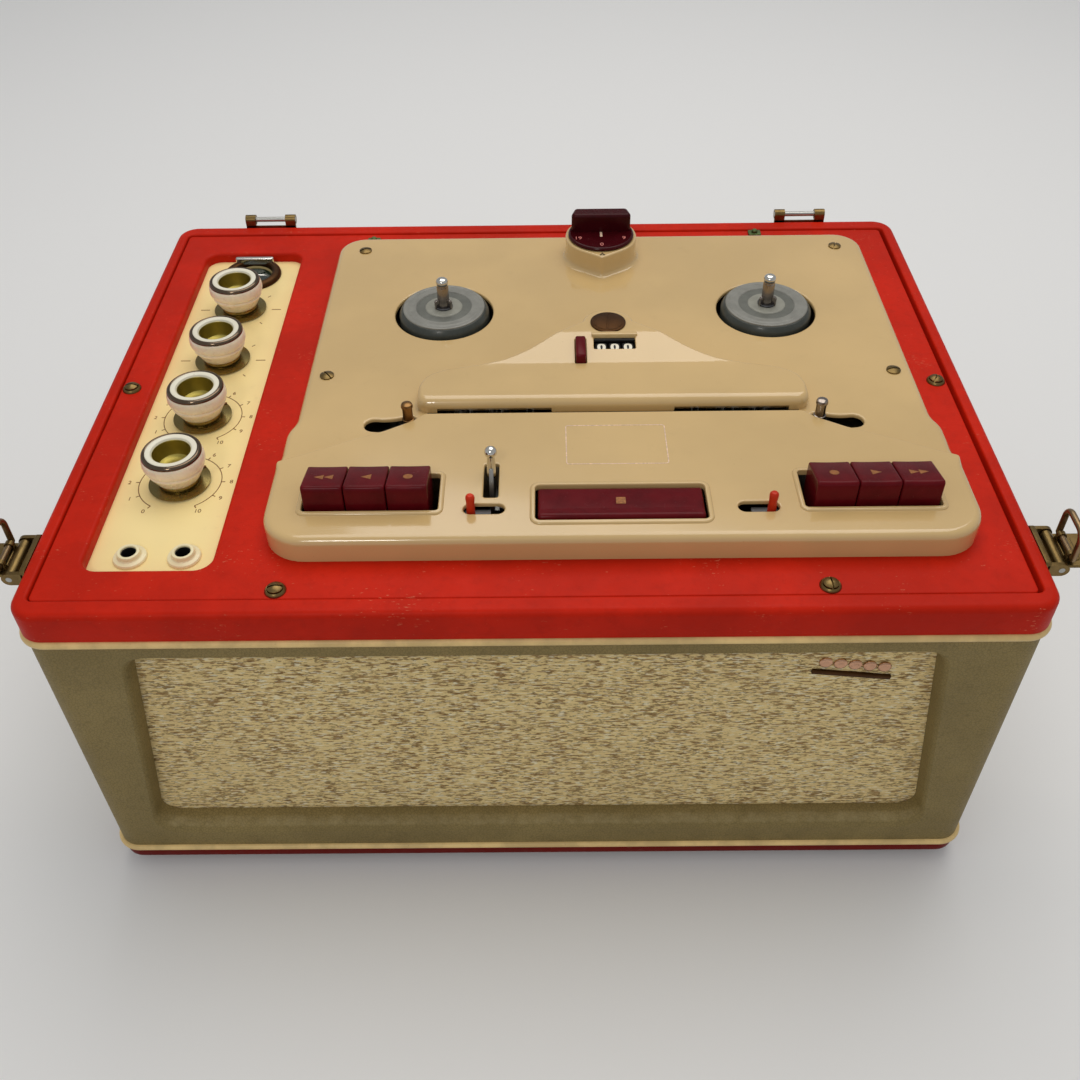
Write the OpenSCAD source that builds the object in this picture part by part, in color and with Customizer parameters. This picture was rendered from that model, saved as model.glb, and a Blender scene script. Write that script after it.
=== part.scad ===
// Portable valve tape recorder with its lid lifted off: a leathercloth-covered
// cabinet with a red rim, a sunken control panel on the left and a two-spool
// tape deck on the right. Millimetres, +X to the right, +Y to the back, +Z up.
// The origin is on the table, under the middle of the cabinet with its hinges.

/* [Cabinet] */
// Width over the red rim
case_w = 460; // [452:1:490]
// Depth over the red rim
case_d = 343; // [340:1:370]
// Height of the grey body between the two piping beads
body_h = 162; // [155:1:190]
// Height of the red rim
rim_h = 18; // [16:0.5:24]
// Height of the red base board
base_h = 8; // [7:0.5:12]
// Thickness of the cabinet walls
wall = 9; // [8:0.5:10]
// Corner radius of the cabinet in plan
corner_r = 12; // [10:1:16]
// How far the rim overhangs the body
rim_over = 2.5; // [2.5:0.25:3.5]
// Width of the rim along the two sides
rim_side = 8; // [7:0.5:9]
// Width of the rim along the front and the back
rim_front = 10.5; // [9:0.5:11]
// Thickness of the cream piping
piping_d = 3.6; // [3:0.2:4.6]
// Height of a rubber foot
foot_h = 7; // [5:1:14]
// Radius of a rubber foot
foot_r = 11; // [8:0.5:14]
// Distance from the cabinet corner to a foot's centre, both ways
foot_inset = 34; // [28:1:44]

/* [Loudspeaker grille] */
// Width of the grille opening along its top
grille_top_w = 369; // [330:1:380]
// Width of the grille opening along its bottom
grille_low_w = 399; // [380:1:406]
// Height of the grille opening
grille_h = 132; // [124:1:134]
// Distance from the top of the body down to the opening
grille_drop = 10; // [8:0.1:12]
// Corner radius of the opening
grille_r = 9; // [6:1:14]
// How much wider the opening is at the front of the wall
grille_flare = 3; // [2:0.5:4]
// How far the sloping ledge below the cloth comes down at the front
grille_ledge = 8; // [4:0.5:9]
// Thickness of the grille cloth
cloth_t = 1; // [0.8:0.1:1.6]
// Thickness of the baffle board behind the cloth
baffle_t = 8; // [6:0.5:10]
// Radius of the loudspeaker's rounded ends
speaker_r = 62; // [55:1:64]
// Distance between the centres of the loudspeaker's ends
speaker_stretch = 80; // [60:1:100]
// Depth of the loudspeaker behind the baffle
speaker_depth = 68; // [55:1:75]

/* [Deck board] */
// Thickness of the red deck board
board_t = 6; // [5:0.5:8]
// How far the board lies below the top of the rim
board_drop = 1; // [0.5:0.25:2]
// Gap between the board and the rim at the left, front and back
board_gap = 0.6; // [0.4:0.1:0.8]
// Wider gap between the board and the rim on the right
board_gap_right = 2; // [0.6:0.1:2.5]
// Width of the bearers that carry the board
bearer_w = 8; // [7:0.5:9]
// Depth of the bearers
bearer_h = 18; // [17:0.5:19]

/* [Control panel] */
// Distance from the left side of the rim to the panel opening
panel_left = 25.5; // [24:0.5:30]
// Width of the panel opening
panel_w = 59; // [54:0.5:62]
// Distance from the front of the rim to the panel opening
panel_front = 30; // [26:0.5:34]
// Distance from the back of the rim to the panel opening
panel_rear = 33.5; // [30:0.5:36]
// Corner radius of the panel opening
panel_r = 8; // [4:1:12]
// Thickness of the panel
panel_t = 2; // [1.5:0.5:3]
// How far the panel laps under the board
panel_lap = 4; // [3:0.5:4.5]
// Distance from the front of the opening to the first knob
knob_first = 66.4; // [60:0.2:70]
// Distance between the knobs
knob_pitch = 52.5; // [48:0.5:54]
// Radius of a knob's gilt skirt
skirt_r = 16; // [15:0.25:18]
// Radius of a knob's control shaft
shaft_r = 3; // [2.5:0.25:3.5]
// Distance from the front of the opening to the jack sockets
jack_front = 13.5; // [12:0.5:18]
// Distance between the jack sockets
jack_pitch = 25; // [22:0.5:30]
// How far the pair of sockets stands to the right of the panel's middle
jack_shift = 1.5; // [-2:0.5:3]
// Radius of a jack socket's bore
jack_r = 3.2; // [3.15:0.05:3.4]
// Depth of a jack socket's bore
jack_depth = 26; // [20:1:30]
// Distance from the back of the opening to the tuning eye
eye_rear = 17; // [16.5:0.5:20]
// Radius of the tuning eye's ring
eye_r = 15.5; // [14:0.5:16]

/* [Deck unit] */
// Distance of the deck's centre line to the right of the cabinet's middle
deck_shift = 40; // [36:0.5:42]
// Distance from the front of the rim to the front of the deck
deck_front = 34; // [30:0.5:38]
// Width of the deck plate
deck_w = 320; // [316:0.5:324]
// Depth of the deck, front to back
deck_d = 278; // [274:0.5:282]
// Height of the deck plate over the red board
deck_h = 9; // [8:0.25:11]
// How far the front cover and the deck's shoulders stand out at each side
shoulder = 3.5; // [2:0.5:5]
// Height of the front cover over the red board
cover_h = 13; // [12:0.25:15]
// Height of the head cover over the red board
head_h = 16.5; // [16:0.25:19]
// Height of the counter's hump over the red board
hump_h = 21; // [19:0.25:22]
// Thickness of the deck's sheet
skin = 2; // [1.5:0.25:2]
// How far the deck laps over the board round its opening
deck_lap = 6; // [5:0.5:7]
// Width of the slot that the tape drops into
tape_slot_w = 4.6; // [4.4:0.1:5.4]
// Distance from the deck's front to the back edge of the front cover
cover_d = 92.7; // [91:0.1:94]
// Depth of the steel chassis plate below the red board
chassis_drop = 8; // [7:0.5:10]
// Thickness of the chassis plate
chassis_t = 2.5; // [2:0.25:3]

/* [Spools] */
// Distance between the two spool centres
spool_pitch = 182; // [178:0.5:186]
// Distance from the deck's front to the spool centres
spool_y = 191; // [189:0.5:194]
// Radius of the hole round a spool turntable
spool_hole_r = 27.7; // [27:0.1:29]
// Radius of a spool turntable
turntable_r = 25.4; // [23:0.1:26.4]
// Radius of a spool spindle
spindle_r = 3.9; // [3.7:0.05:4]
// Height of a spool spindle over the turntable
spindle_h = 18.5; // [16:0.5:24]

/* [Keys] */
// Width of a transport key
key_w = 18.8; // [17:0.1:18.9]
// Distance from one key to the next
key_pitch = 19.2; // [19.1:0.1:19.6]
// Depth of a key from front to back
key_d = 22; // [20:0.5:23]
// Height of a key's front edge over the red board
key_top = 25.5; // [22:0.5:28]
// Fall of a key's top from front to back
key_fall = 5; // [3:0.5:6]
// Distance from the deck's front to the keys
key_y = 20.8; // [20.5:0.1:22]
// Angle that a key swings down through
key_swing = 5; // [4:0.5:5]
// Distance from the deck plate's side to the outermost key's centre
key_side = 24.4; // [22.6:0.1:24.6]
// Width of the stop bar
stop_w = 76; // [70:0.5:80]
// Depth of the stop bar
stop_d = 21; // [18:0.5:22]

/* [Latches and hinges] */
// Distance from the front of the rim to the middle of a side latch
latch_y = 42; // [36:1:60]
// Width of a latch's base plate
latch_w = 26; // [24:0.5:30]
// Length of a latch lever
latch_reach = 26; // [24:0.5:32]
// Height of the wire loop over its pivot
bail_h = 15; // [13:0.5:20]
// Radius of the loop's wire
bail_r = 1.5; // [1.2:0.1:1.7]
// Distance from the cabinet's middle to a rear hinge
hinge_x = 171; // [150:1:180]
// Width of a rear hinge
hinge_w = 32; // [28:1:40]
// Radius of a hinge knuckle
hinge_r = 3; // [2.5:0.25:4]

/* [Hidden] */
$fn = 48;
// Running clearance between a shaft and its bearing, on the radius
run = 0.05;
// Gap between pieces of the deck that move past each other
move_gap = 0.4;
// A cut runs this far past the face it starts from
over = 1;

// Heights of the cabinet's layers
base_top = foot_h + base_h;
body_low = base_top + piping_d;
body_top = body_low + body_h;
rim_low = body_top + piping_d;
rim_top = rim_low + rim_h;
board_top = rim_top - board_drop;
board_low = board_top - board_t;
// The cabinet's front face, from a plan centred on cabinet and hinges together
hinge_out = 2 * hinge_r;
front_y = -(case_d + hinge_out) / 2;
back_y = front_y + case_d;
body_w = case_w - 2 * rim_over;
body_d = case_d - 2 * rim_over;
mid_y = (front_y + back_y) / 2;
// Plan of the bearers' outer face: inside both the walls and the rim
bearer_x = case_w / 2 - max(rim_side, rim_over + wall);
bearer_y = case_d / 2 - max(rim_front, rim_over + wall);
// The board's four edges
board_left = -case_w / 2 + rim_side + board_gap;
board_right = case_w / 2 - rim_side - board_gap_right;
board_front = front_y + rim_front + board_gap;
board_back = back_y - rim_front - board_gap;
// The control panel's opening
panel_x = -case_w / 2 + panel_left + panel_w / 2;
panel_y = front_y + panel_front;
panel_l = case_d - panel_front - panel_rear;
panel_top = board_low;
knob_h = 21;
knob_lift = 0.8;
pot_depth = 14;
eye_y = panel_y + panel_l - eye_rear;
jack_y = panel_y + jack_front;
jack_x = panel_x + jack_shift;
// The grille
grille_top = body_top - grille_drop;
grille_low = grille_top - grille_h;
inner_front = front_y + rim_over + wall;
cloth_over = 5;
baffle_y = inner_front + cloth_t;
speaker_z = (grille_top + grille_low) / 2;
speaker_x = 20;
// The board screws: two at the front, one at each side
screw_in = 5.6;
screw_x = [-113.5, 130];
side_screw_y = front_y + 167;
washer_r = 4.9;
// The deck's own frame starts at the front of the deck on the red board
deck_y = front_y + deck_front;
cover_w = deck_w + 2 * shoulder;
head_front = cover_d + tape_slot_w;
deck_screws = [[-deck_w / 2 + 16.7, deck_d - 17], [deck_w / 2 - 16.7, deck_d - 17],
               [-deck_w / 2 + 10.5, 130.5], [deck_w / 2 - 10.5, 130.5]];
pillar_r = 4;
spool_shaft_r = 5;
cut_w = deck_w - 2 * deck_lap;
cut_front = deck_lap;
cut_back = deck_d - deck_lap;
chassis_low = -chassis_drop - chassis_t;
shoulder_y = 88;
seam_side_y = 56;
bay_w = deck_w - 132;
capstan_x = 42;
// The open stretches of the tape slot: distance of their middle, and their length
slot_window = [60, 58];
capstan_y = head_front + 3.7;
capstan_r = 2.5;
flywheel_r = 38;
roller_r = 8;
roller_y = cover_d - roller_r - 0.5;
pinch_x = 26;
pinch_swing = 12;
// The guide arms on both sides of the head cover
guide_pivot = [deck_w / 2 - 45, 119];
guide_reach = 31.4;
guide_rest = -67.5;
guide_swing = 32;
guide_r = 2.65;
guide_slot_r = 5;
// The counter and its wheels
counter_x = 2.8;
wheel_w = 6.2;
wheel_pitch = 7;
wheel_r = 8;
wheel_y = 142;
wheel_z = head_h - 6;
reset_w = 5.4;
reset_x = -15.3;
reset_y = 129.4;
reset_d = 17;
reset_gap = 0.25;
reset_travel = 2.5;
cover_screw_y = 160;
cover_screw_r = 9.5;
lobe_r = 12.5;
// The speed selector
pod_r = 21.2;
pod_tip_r = 3;
pod_y = deck_d - pod_r - 2.8;
pod_reach = 26;
pod_h = 11;
selector_r = 19.8;
// The levers in the front cover
key_pivot_y = 74;
key_first = deck_w / 2 - key_side - 2 * key_pitch;
rod_r = 1.5;
bank_in = key_first - key_w / 2 - 4.2;
bank_out = key_first + 2 * key_pitch + key_w / 2 + 0.9;
bank_front = key_y - 2.1;
bank_back = key_y + key_d + 1.3;
stop_y = 13.2;
rim_lip = 2.5;
pause_x = -59.8;
pause_slot = [7, 24];
pause_y = 28;
trick_x = 62.6;
trick_slot = [19, 7];
trick_y = 20.3;
trick_travel = 12;

// A rectangle with round corners, centred, in true arcs
module round_plan(w, d, r) {
  square([w - 2 * r, d], center = true);
  square([w, d - 2 * r], center = true);
  for (x = [-1, 1], y = [-1, 1]) translate([x * (w / 2 - r), y * (d / 2 - r)]) circle(r);
}

// A closed frame between two rounded plans, from z upwards
module plan_frame(w, d, r, in_w, in_d, in_r, z, h) {
  translate([0, mid_y, z]) linear_extrude(h) difference() {
    round_plan(w, d, r);
    round_plan(in_w, in_d, in_r);
  }
}

// A slot with round ends along x
module slot_plan(l, w) {
  square([l - w, w], center = true);
  for (s = [-1, 1]) translate([s * (l - w) / 2, 0]) circle(w / 2);
}

module on_deck() {
  translate([deck_shift, deck_y, board_top]) children();
}

module on_panel(y) {
  translate([panel_x, y, panel_top]) children();
}

// Turns a side profile drawn in (y, z) into a bar of width w along x
module side_bar(w) {
  rotate([90, 0, 90]) translate([0, 0, -w / 2]) linear_extrude(w) children();
}

// The grille opening, wider at the bottom, grown by g at the sides and top and low below
module grille_plan(g, low) {
  r = grille_r + g;
  hull() for (s = [-1, 1]) {
    translate([s * (grille_top_w / 2 - grille_r), -grille_r]) circle(r, $fn = 32);
    translate([s * (grille_low_w / 2 - grille_r), grille_r - grille_h + g - low]) circle(r, $fn = 32);
  }
}

module board_screw_places() {
  for (x = screw_x) translate([x, board_front + screw_in - 0.5, board_top]) children();
  translate([board_left + screw_in, side_screw_y, board_top]) children();
  translate([board_right - screw_in, side_screw_y, board_top]) children();
}

module case_shell() {
  screw_hole_r = 1.9;
  screw_len = 14;
  gland_r = 8;
  color([0.45, 0.42, 0.3]) difference() {
    union() {
      plan_frame(body_w, body_d, corner_r, body_w - 2 * wall, body_d - 2 * wall,
                 max(corner_r - wall, 1), body_low, body_h);
      // The bearers: the lower part joins the walls, the upper part clears the rim
      plan_frame(body_w - 2 * wall + 2, body_d - 2 * wall + 2, max(corner_r - wall, 2),
                 2 * (bearer_x - bearer_w), 2 * (bearer_y - bearer_w), 2,
                 board_low - bearer_h, body_top - board_low + bearer_h);
      plan_frame(2 * bearer_x, 2 * bearer_y, max(corner_r - wall, 1), 2 * (bearer_x - bearer_w),
                 2 * (bearer_y - bearer_w), 2, board_low - bearer_h, bearer_h);
    }
    // The grille opening with its wider front edge
    translate([0, inner_front + over, grille_top]) rotate([90, 0, 0])
      linear_extrude(wall + 2 * over) grille_plan(0, 0);
    translate([0, 0, grille_top]) hull() {
      translate([0, front_y + rim_over, 0]) rotate([90, 0, 0])
        linear_extrude(over) grille_plan(grille_flare, grille_ledge);
      translate([0, inner_front - 0.5, 0]) rotate([90, 0, 0])
        linear_extrude(0.1) grille_plan(0, 0);
    }
    // Pilot holes for the board screws and the hole for the mains gland
    board_screw_places() translate([0, 0, -board_t - screw_len]) cylinder(r = screw_hole_r, h = screw_len);
    translate([-case_w / 2 + 80, back_y - rim_over + over, body_low + 40])
      rotate([90, 0, 0]) cylinder(r = gland_r + 0.1, h = wall + 2 * over);
  }
}

module base_board() {
  color([0.5, 0.06, 0.04]) translate([0, mid_y, foot_h]) linear_extrude(base_h)
    round_plan(body_w, body_d, corner_r);
}

module rim_frame() {
  color([0.71, 0.16, 0.12])
    plan_frame(case_w, case_d, corner_r, case_w - 2 * rim_side, case_d - 2 * rim_front, 3,
               rim_low, rim_h);
}

module deck_board() {
  clear = 0.3;
  color([0.71, 0.18, 0.13]) difference() {
    translate([(board_left + board_right) / 2, (board_front + board_back) / 2, board_low])
      linear_extrude(board_t)
      round_plan(board_right - board_left, board_back - board_front, 2.5);
    translate([panel_x, panel_y + panel_l / 2, board_low - over])
      linear_extrude(board_t + 2 * over) round_plan(panel_w, panel_l, panel_r);
    translate([deck_shift, deck_y + (cut_front + cut_back) / 2, board_low - over])
      linear_extrude(board_t + 2 * over) round_plan(cut_w, cut_back - cut_front, 8);
    board_screw_places() translate([0, 0, -board_t - over])
      cylinder(r = 1.8 + clear, h = board_t + 2 * over);
  }
}

// One welt: a flat band between two layers with a round bead along its edge
module welt(z) {
  r = piping_d / 2;
  plan_frame(body_w, body_d, corner_r, body_w - 2 * wall, body_d - 2 * wall,
             max(corner_r - wall, 1), z, piping_d);
  for (s = [-1, 1]) {
    translate([s * body_w / 2, mid_y, z + r]) rotate([90, 0, 0])
      cylinder(r = r, h = body_d - 2 * corner_r, center = true);
    translate([0, mid_y + s * body_d / 2, z + r]) rotate([0, 90, 0])
      cylinder(r = r, h = body_w - 2 * corner_r, center = true);
    for (t = [-1, 1])
      translate([s * (body_w / 2 - corner_r), mid_y + t * (body_d / 2 - corner_r), z + r])
        rotate([0, 0, s > 0 ? (t > 0 ? 0 : -90) : (t > 0 ? 90 : 180)])
        rotate_extrude(angle = 90) translate([corner_r, 0]) circle(r);
  }
}

module piping() {
  color([0.82, 0.68, 0.46]) {
    welt(base_top);
    welt(body_top);
  }
}

module grille_cloth() {
  color([0.82, 0.74, 0.58]) translate([0, baffle_y, grille_top]) rotate([90, 0, 0])
    linear_extrude(cloth_t) grille_plan(cloth_over, cloth_over);
}

// The loudspeaker's outline, two round ends joined by straight sides, less g
module speaker_plan(g) {
  square([speaker_stretch, 2 * (speaker_r - g)], center = true);
  for (s = [-1, 1]) translate([s * speaker_stretch / 2, 0]) circle(speaker_r - g);
}

module baffle_board() {
  top_gap = 0.5;
  low = body_low + 2;
  high = board_low - bearer_h - top_gap;
  edge = body_w / 2 - wall - 1;
  color([0.55, 0.42, 0.28]) difference() {
    translate([-edge, baffle_y, low]) cube([2 * edge, baffle_t, high - low]);
    translate([speaker_x, baffle_y + baffle_t + over, speaker_z]) rotate([90, 0, 0])
      linear_extrude(baffle_t + 2 * over) speaker_plan(8);
  }
}

module speaker_frame() {
  flange_t = 2;
  magnet_r = 30;
  magnet_t = 22;
  y = baffle_y + baffle_t;
  color([0.35, 0.36, 0.38]) {
    translate([speaker_x, y + flange_t, speaker_z]) rotate([90, 0, 0])
      linear_extrude(flange_t) difference() {
        speaker_plan(1);
        speaker_plan(9);
      }
    // Four ribs run back from the flange to the magnet
    for (s = [-1, 1], t = [-1, 1]) hull() {
      translate([speaker_x + s * (speaker_stretch / 2 + speaker_r - 4), y + flange_t, speaker_z + t * 8])
        cube([6, 1, 10], center = true);
      translate([speaker_x + s * (magnet_r - 5), y + speaker_depth - magnet_t, speaker_z + t * 8])
        cube([6, 1, 10], center = true);
    }
    translate([speaker_x, y + speaker_depth, speaker_z]) rotate([90, 0, 0])
      cylinder(r = magnet_r, h = magnet_t);
  }
}

// A funnel with the loudspeaker's outline, less g, from the flange back to the coil
module speaker_funnel(g, depth) {
  hull() for (s = [-1, 1]) translate([s * speaker_stretch / 2, 0, 0])
    cylinder(r1 = speaker_r - g, r2 = speaker_r - g - 6, h = 6, $fn = 32);
  hull() {
    for (s = [-1, 1]) translate([s * speaker_stretch / 2, 0, 5]) cylinder(r = speaker_r - g - 5, h = 1, $fn = 32);
    translate([0, 0, depth - 1]) cylinder(r = 16 - g / 10, h = 1, $fn = 32);
  }
}

module speaker_cone() {
  depth = 36;
  edge = 9.2;
  color([0.2, 0.19, 0.17]) translate([speaker_x, baffle_y + baffle_t + 0.4, speaker_z])
    rotate([-90, 0, 0]) difference() {
      speaker_funnel(edge, depth);
      translate([0, 0, -over]) speaker_funnel(edge + 2, depth);
    }
}

// A domed screw in a cup washer, its washer on z = 0
module cup_screw() {
  rotate_extrude() polygon([[0, -12], [1.8, -12], [1.8, 0], [washer_r, 0], [washer_r - 0.5, 1],
                            [3.9, 1.6], [3.7, 2.4], [2.4, 3.3], [0, 3.7]]);
}

// A slotted screw with a low domed head, its head on z = 0
module deck_screw() {
  difference() {
    rotate_extrude() polygon([[0, -14], [1.9, -14], [1.9, 0], [3.7, 0], [3.6, 0.8], [2, 1.4], [0, 1.6]]);
    translate([-4, -0.5, 0.8]) cube([8, 1, 2]);
  }
}

module fixing_screws() {
  color([0.5, 0.42, 0.26]) {
    board_screw_places() cup_screw();
    on_deck() for (p = deck_screws) translate([p[0], p[1], deck_h]) deck_screw();
  }
}

module rubber_feet() {
  color([0.08, 0.08, 0.08]) for (x = [-1, 1], y = [-1, 1])
    translate([x * (case_w / 2 - foot_inset), mid_y + y * (case_d / 2 - foot_inset), 0])
      cylinder(r1 = foot_r - 1, r2 = foot_r, h = foot_h);
}

module rear_hinges() {
  leaf_t = 1.5;
  leaf_h = 14;
  knuckle = hinge_w / 5;
  pin_r = 1.6;
  z = rim_top + hinge_r;
  color([0.55, 0.46, 0.3]) for (s = [-1, 1]) translate([s * hinge_x, back_y, z]) {
    translate([-hinge_w / 2, 0, -hinge_r - leaf_h]) cube([hinge_w, leaf_t, leaf_h]);
    for (e = [-1, 1]) translate([e * (hinge_w - knuckle) / 2, 0, 0]) difference() {
      union() {
        translate([0, hinge_r, 0]) rotate([0, 90, 0])
          cylinder(r = hinge_r, h = knuckle, center = true);
        translate([-knuckle / 2, 0, -hinge_r - 2]) cube([knuckle, leaf_t, hinge_r + 2]);
        translate([-knuckle / 2, 0, -hinge_r]) cube([knuckle, hinge_r, hinge_r]);
      }
      translate([0, hinge_r, 0]) rotate([0, 90, 0])
        cylinder(r = pin_r, h = knuckle + over, center = true);
    }
    translate([0, hinge_r, 0]) rotate([0, 90, 0]) cylinder(r = pin_r, h = hinge_w, center = true);
  }
}

// Places on a side latch: the lever's pivot and the loop's pivot
latch_x = case_w / 2;
latch_z = rim_top - 6;
latch_out = 7;
bail_out = 12;
bail_up = 3.4;
lever_t = 1.6;
barrel_r = 2.8;
latch_pin_r = 1.4;
ear_t = 2;
ear_gap = 0.3;
lever_w = latch_w - 2 * ear_t - 2 * ear_gap;
bail_w = lever_w - 3;

module latch_side(s) {
  translate([0, front_y + latch_y, latch_z]) mirror([s < 0 ? 1 : 0, 0, 0])
    translate([latch_x, 0, 0]) children();
}

module latch_plates() {
  plate_t = 1.5;
  plate_h = 15;
  color([0.48, 0.42, 0.27]) for (s = [-1, 1]) latch_side(s) {
    translate([0, -latch_w / 2, -plate_h + 4.5]) cube([plate_t, latch_w, plate_h]);
    for (e = [-1, 1]) translate([0, e * (latch_w - ear_t) / 2, 0]) {
      difference() {
        union() {
          rotate([90, 0, 0]) translate([latch_out, 0, 0])
            cylinder(r = barrel_r + 0.6, h = ear_t, center = true);
          translate([0, -ear_t / 2, -barrel_r - 0.6]) cube([latch_out, ear_t, 2 * barrel_r + 1.2]);
        }
        translate([latch_out, 0, 0]) rotate([90, 0, 0])
          cylinder(r = latch_pin_r, h = ear_t + over, center = true);
      }
    }
    translate([latch_out, 0, 0]) rotate([90, 0, 0]) cylinder(r = latch_pin_r, h = latch_w, center = true);
  }
}

module latch_lever() {
  tip = latch_out + latch_reach;
  color([0.62, 0.54, 0.32]) difference() {
    union() {
      translate([latch_out, 0, 0]) rotate([90, 0, 0]) cylinder(r = barrel_r, h = lever_w, center = true);
      translate([latch_out, -lever_w / 2, -lever_t / 2])
        cube([latch_reach - lever_w / 2, lever_w, lever_t]);
      translate([tip - lever_w / 2, 0, -lever_t / 2]) cylinder(r = lever_w / 2, h = lever_t);
      // The small barrel that carries the wire loop
      for (e = [-1, 1]) translate([bail_out, e * (lever_w / 2 - 4.4), 0]) {
        translate([0, 0, bail_up]) rotate([90, 0, 0]) cylinder(r = 2.2, h = 2.4, center = true);
        translate([-2.2, -1.2, 0]) cube([4.4, 2.4, bail_up]);
      }
    }
    translate([latch_out, 0, 0]) rotate([90, 0, 0])
      cylinder(r = latch_pin_r + run, h = lever_w + over, center = true);
    translate([bail_out, 0, bail_up]) rotate([90, 0, 0])
      cylinder(r = bail_r + run, h = lever_w + over, center = true);
  }
}

// The wire loop, upright on its pivot, with rounded upper corners
module latch_bail() {
  leg = bail_w / 2;
  bend = 5;
  color([0.5, 0.4, 0.3]) translate([bail_out, 0, bail_up]) {
    rotate([90, 0, 0]) cylinder(r = bail_r, h = bail_w, center = true);
    for (e = [-1, 1]) {
      translate([0, e * leg, 0]) sphere(bail_r);
      translate([0, e * leg, 0]) cylinder(r = bail_r, h = bail_h - bend);
      translate([0, e * (leg - bend), bail_h - bend]) rotate([0, 90, 0])
        rotate([0, 0, e > 0 ? 90 : 180]) rotate_extrude(angle = 90) translate([bend, 0]) circle(bail_r);
    }
    translate([0, 0, bail_h]) rotate([90, 0, 0])
      cylinder(r = bail_r, h = bail_w - 2 * bend, center = true);
  }
}

module latch_lever_left() { latch_side(-1) latch_lever(); }
module latch_lever_right() { latch_side(1) latch_lever(); }
module latch_bail_left() { latch_side(-1) latch_bail(); }
module latch_bail_right() { latch_side(1) latch_bail(); }

module grille_badge() {
  bar_w = 38;
  bar_h = 3;
  bar_t = 1.5;
  studs = 5;
  color([0.75, 0.6, 0.5]) translate([grille_top_w / 2 - 36, inner_front, grille_top - 17])
    rotate([0, 7, 0]) {
      translate([-bar_w / 2, -bar_t, 0]) cube([bar_w, bar_t, bar_h]);
      for (i = [0 : studs - 1])
        translate([-bar_w / 2 + 5 + i * (bar_w - 10) / (studs - 1), 0, bar_h + 3])
          rotate([90, 0, 0]) cylinder(r = 3.1, h = bar_t);
    }
}

module mains_gland() {
  r = 8;
  lead_r = 3.7;
  color([0.1, 0.1, 0.1]) translate([-case_w / 2 + 80, back_y - rim_over, body_low + 40])
    rotate([-90, 0, 0]) difference() {
      union() {
        translate([0, 0, -wall - 1.5]) cylinder(r = r, h = wall + 1.5);
        cylinder(r1 = r + 3, r2 = r + 1.5, h = 2.2);
      }
      translate([0, 0, -wall - 1.5 - over]) cylinder(r = lead_r, h = wall + 5 + 2 * over);
    }
}

// Where the four knobs stand on the panel
function knob_y(i) = panel_y + knob_first + i * knob_pitch;

module control_panel() {
  bush_r = 5;
  jack_hole = 6.2;
  eye_hole = 12.4;
  color([0.93, 0.84, 0.64]) difference() {
    translate([panel_x, panel_y + panel_l / 2, panel_top - panel_t]) linear_extrude(panel_t)
      round_plan(panel_w + 2 * panel_lap, panel_l + 2 * panel_lap, 3);
    for (i = [0 : 3]) on_panel(knob_y(i)) translate([0, 0, -panel_t - over])
      cylinder(r = bush_r, h = panel_t + 2 * over);
    for (s = [-1, 1]) translate([jack_x + s * jack_pitch / 2, jack_y, panel_top - panel_t - over])
      cylinder(r = jack_hole, h = panel_t + 2 * over);
    on_panel(eye_y) translate([0, 0, -panel_t - over]) cylinder(r = eye_hole, h = panel_t + 2 * over);
  }
}

// A knob from its panel upwards: gilt skirt, cream body, gilt cup and steel shaft
module knob(i) {
  cup_r = 9.4;
  on_panel(knob_y(i)) {
    color([0.75, 0.62, 0.35]) rotate_extrude()
      polygon([[0, knob_lift], [skirt_r, knob_lift], [skirt_r, knob_lift + 0.6],
               [12.5, 2], [0, 2]]);
    color([0.93, 0.85, 0.68]) rotate_extrude()
      polygon([[0, 1.4], [11.6, 1.4], [11.4, 4.6], [12.3, 7.2], [14.3, 10.6], [14.3, 11.4],
               [13.7, 11.7], [13.8, 12.4], [15, 13], [15.3, 16.5], [15, 18.4], [13.8, knob_h - 0.4],
               [12.8, knob_h], [10.2, knob_h], [cup_r - 0.3, knob_h - 0.6], [cup_r - 0.3, 7.2],
               [0, 7.2]]);
    color([0.55, 0.46, 0.22]) rotate_extrude()
      polygon([[0, 6.8], [cup_r, 6.8], [cup_r, knob_h - 0.9], [cup_r - 0.5, knob_h - 0.8],
               [8.2, 11], [6.5, 8.8], [0, 8.4]]);
    color([0.7, 0.7, 0.7]) translate([0, 0, -panel_t - 9]) cylinder(r = shaft_r, h = panel_t + 9 + 6.2);
  }
}

module knob_1() { knob(0); }
module knob_2() { knob(1); }
module knob_3() { knob(2); }
module knob_4() { knob(3); }

module potentiometers() {
  can_r = 12.5;
  color([0.6, 0.6, 0.58]) for (i = [0 : 3]) on_panel(knob_y(i)) difference() {
    union() {
      translate([0, 0, -panel_t - pot_depth]) cylinder(r = can_r, h = pot_depth);
      translate([0, 0, -panel_t]) cylinder(r = 4.8, h = panel_t + 0.4);
    }
    translate([0, 0, -panel_t - 10]) cylinder(r = shaft_r + run, h = 30);
  }
}

module jack_sockets() {
  color([0.93, 0.9, 0.8]) for (s = [-1, 1])
    translate([jack_x + s * jack_pitch / 2, jack_y, panel_top]) difference() {
      union() {
        cylinder(r = 8, h = 1);
        cylinder(r = 7.3, h = 4, $fn = 6);
        cylinder(r = 5, h = 5);
        translate([0, 0, -panel_t - 2]) cylinder(r = 6, h = panel_t + 3);
        translate([0, 0, -jack_depth + 4]) cylinder(r = 8.5, h = jack_depth - 4 - panel_t);
      }
      translate([0, 0, 5 - jack_depth]) cylinder(r = jack_r, h = jack_depth + over);
    }
}

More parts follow.
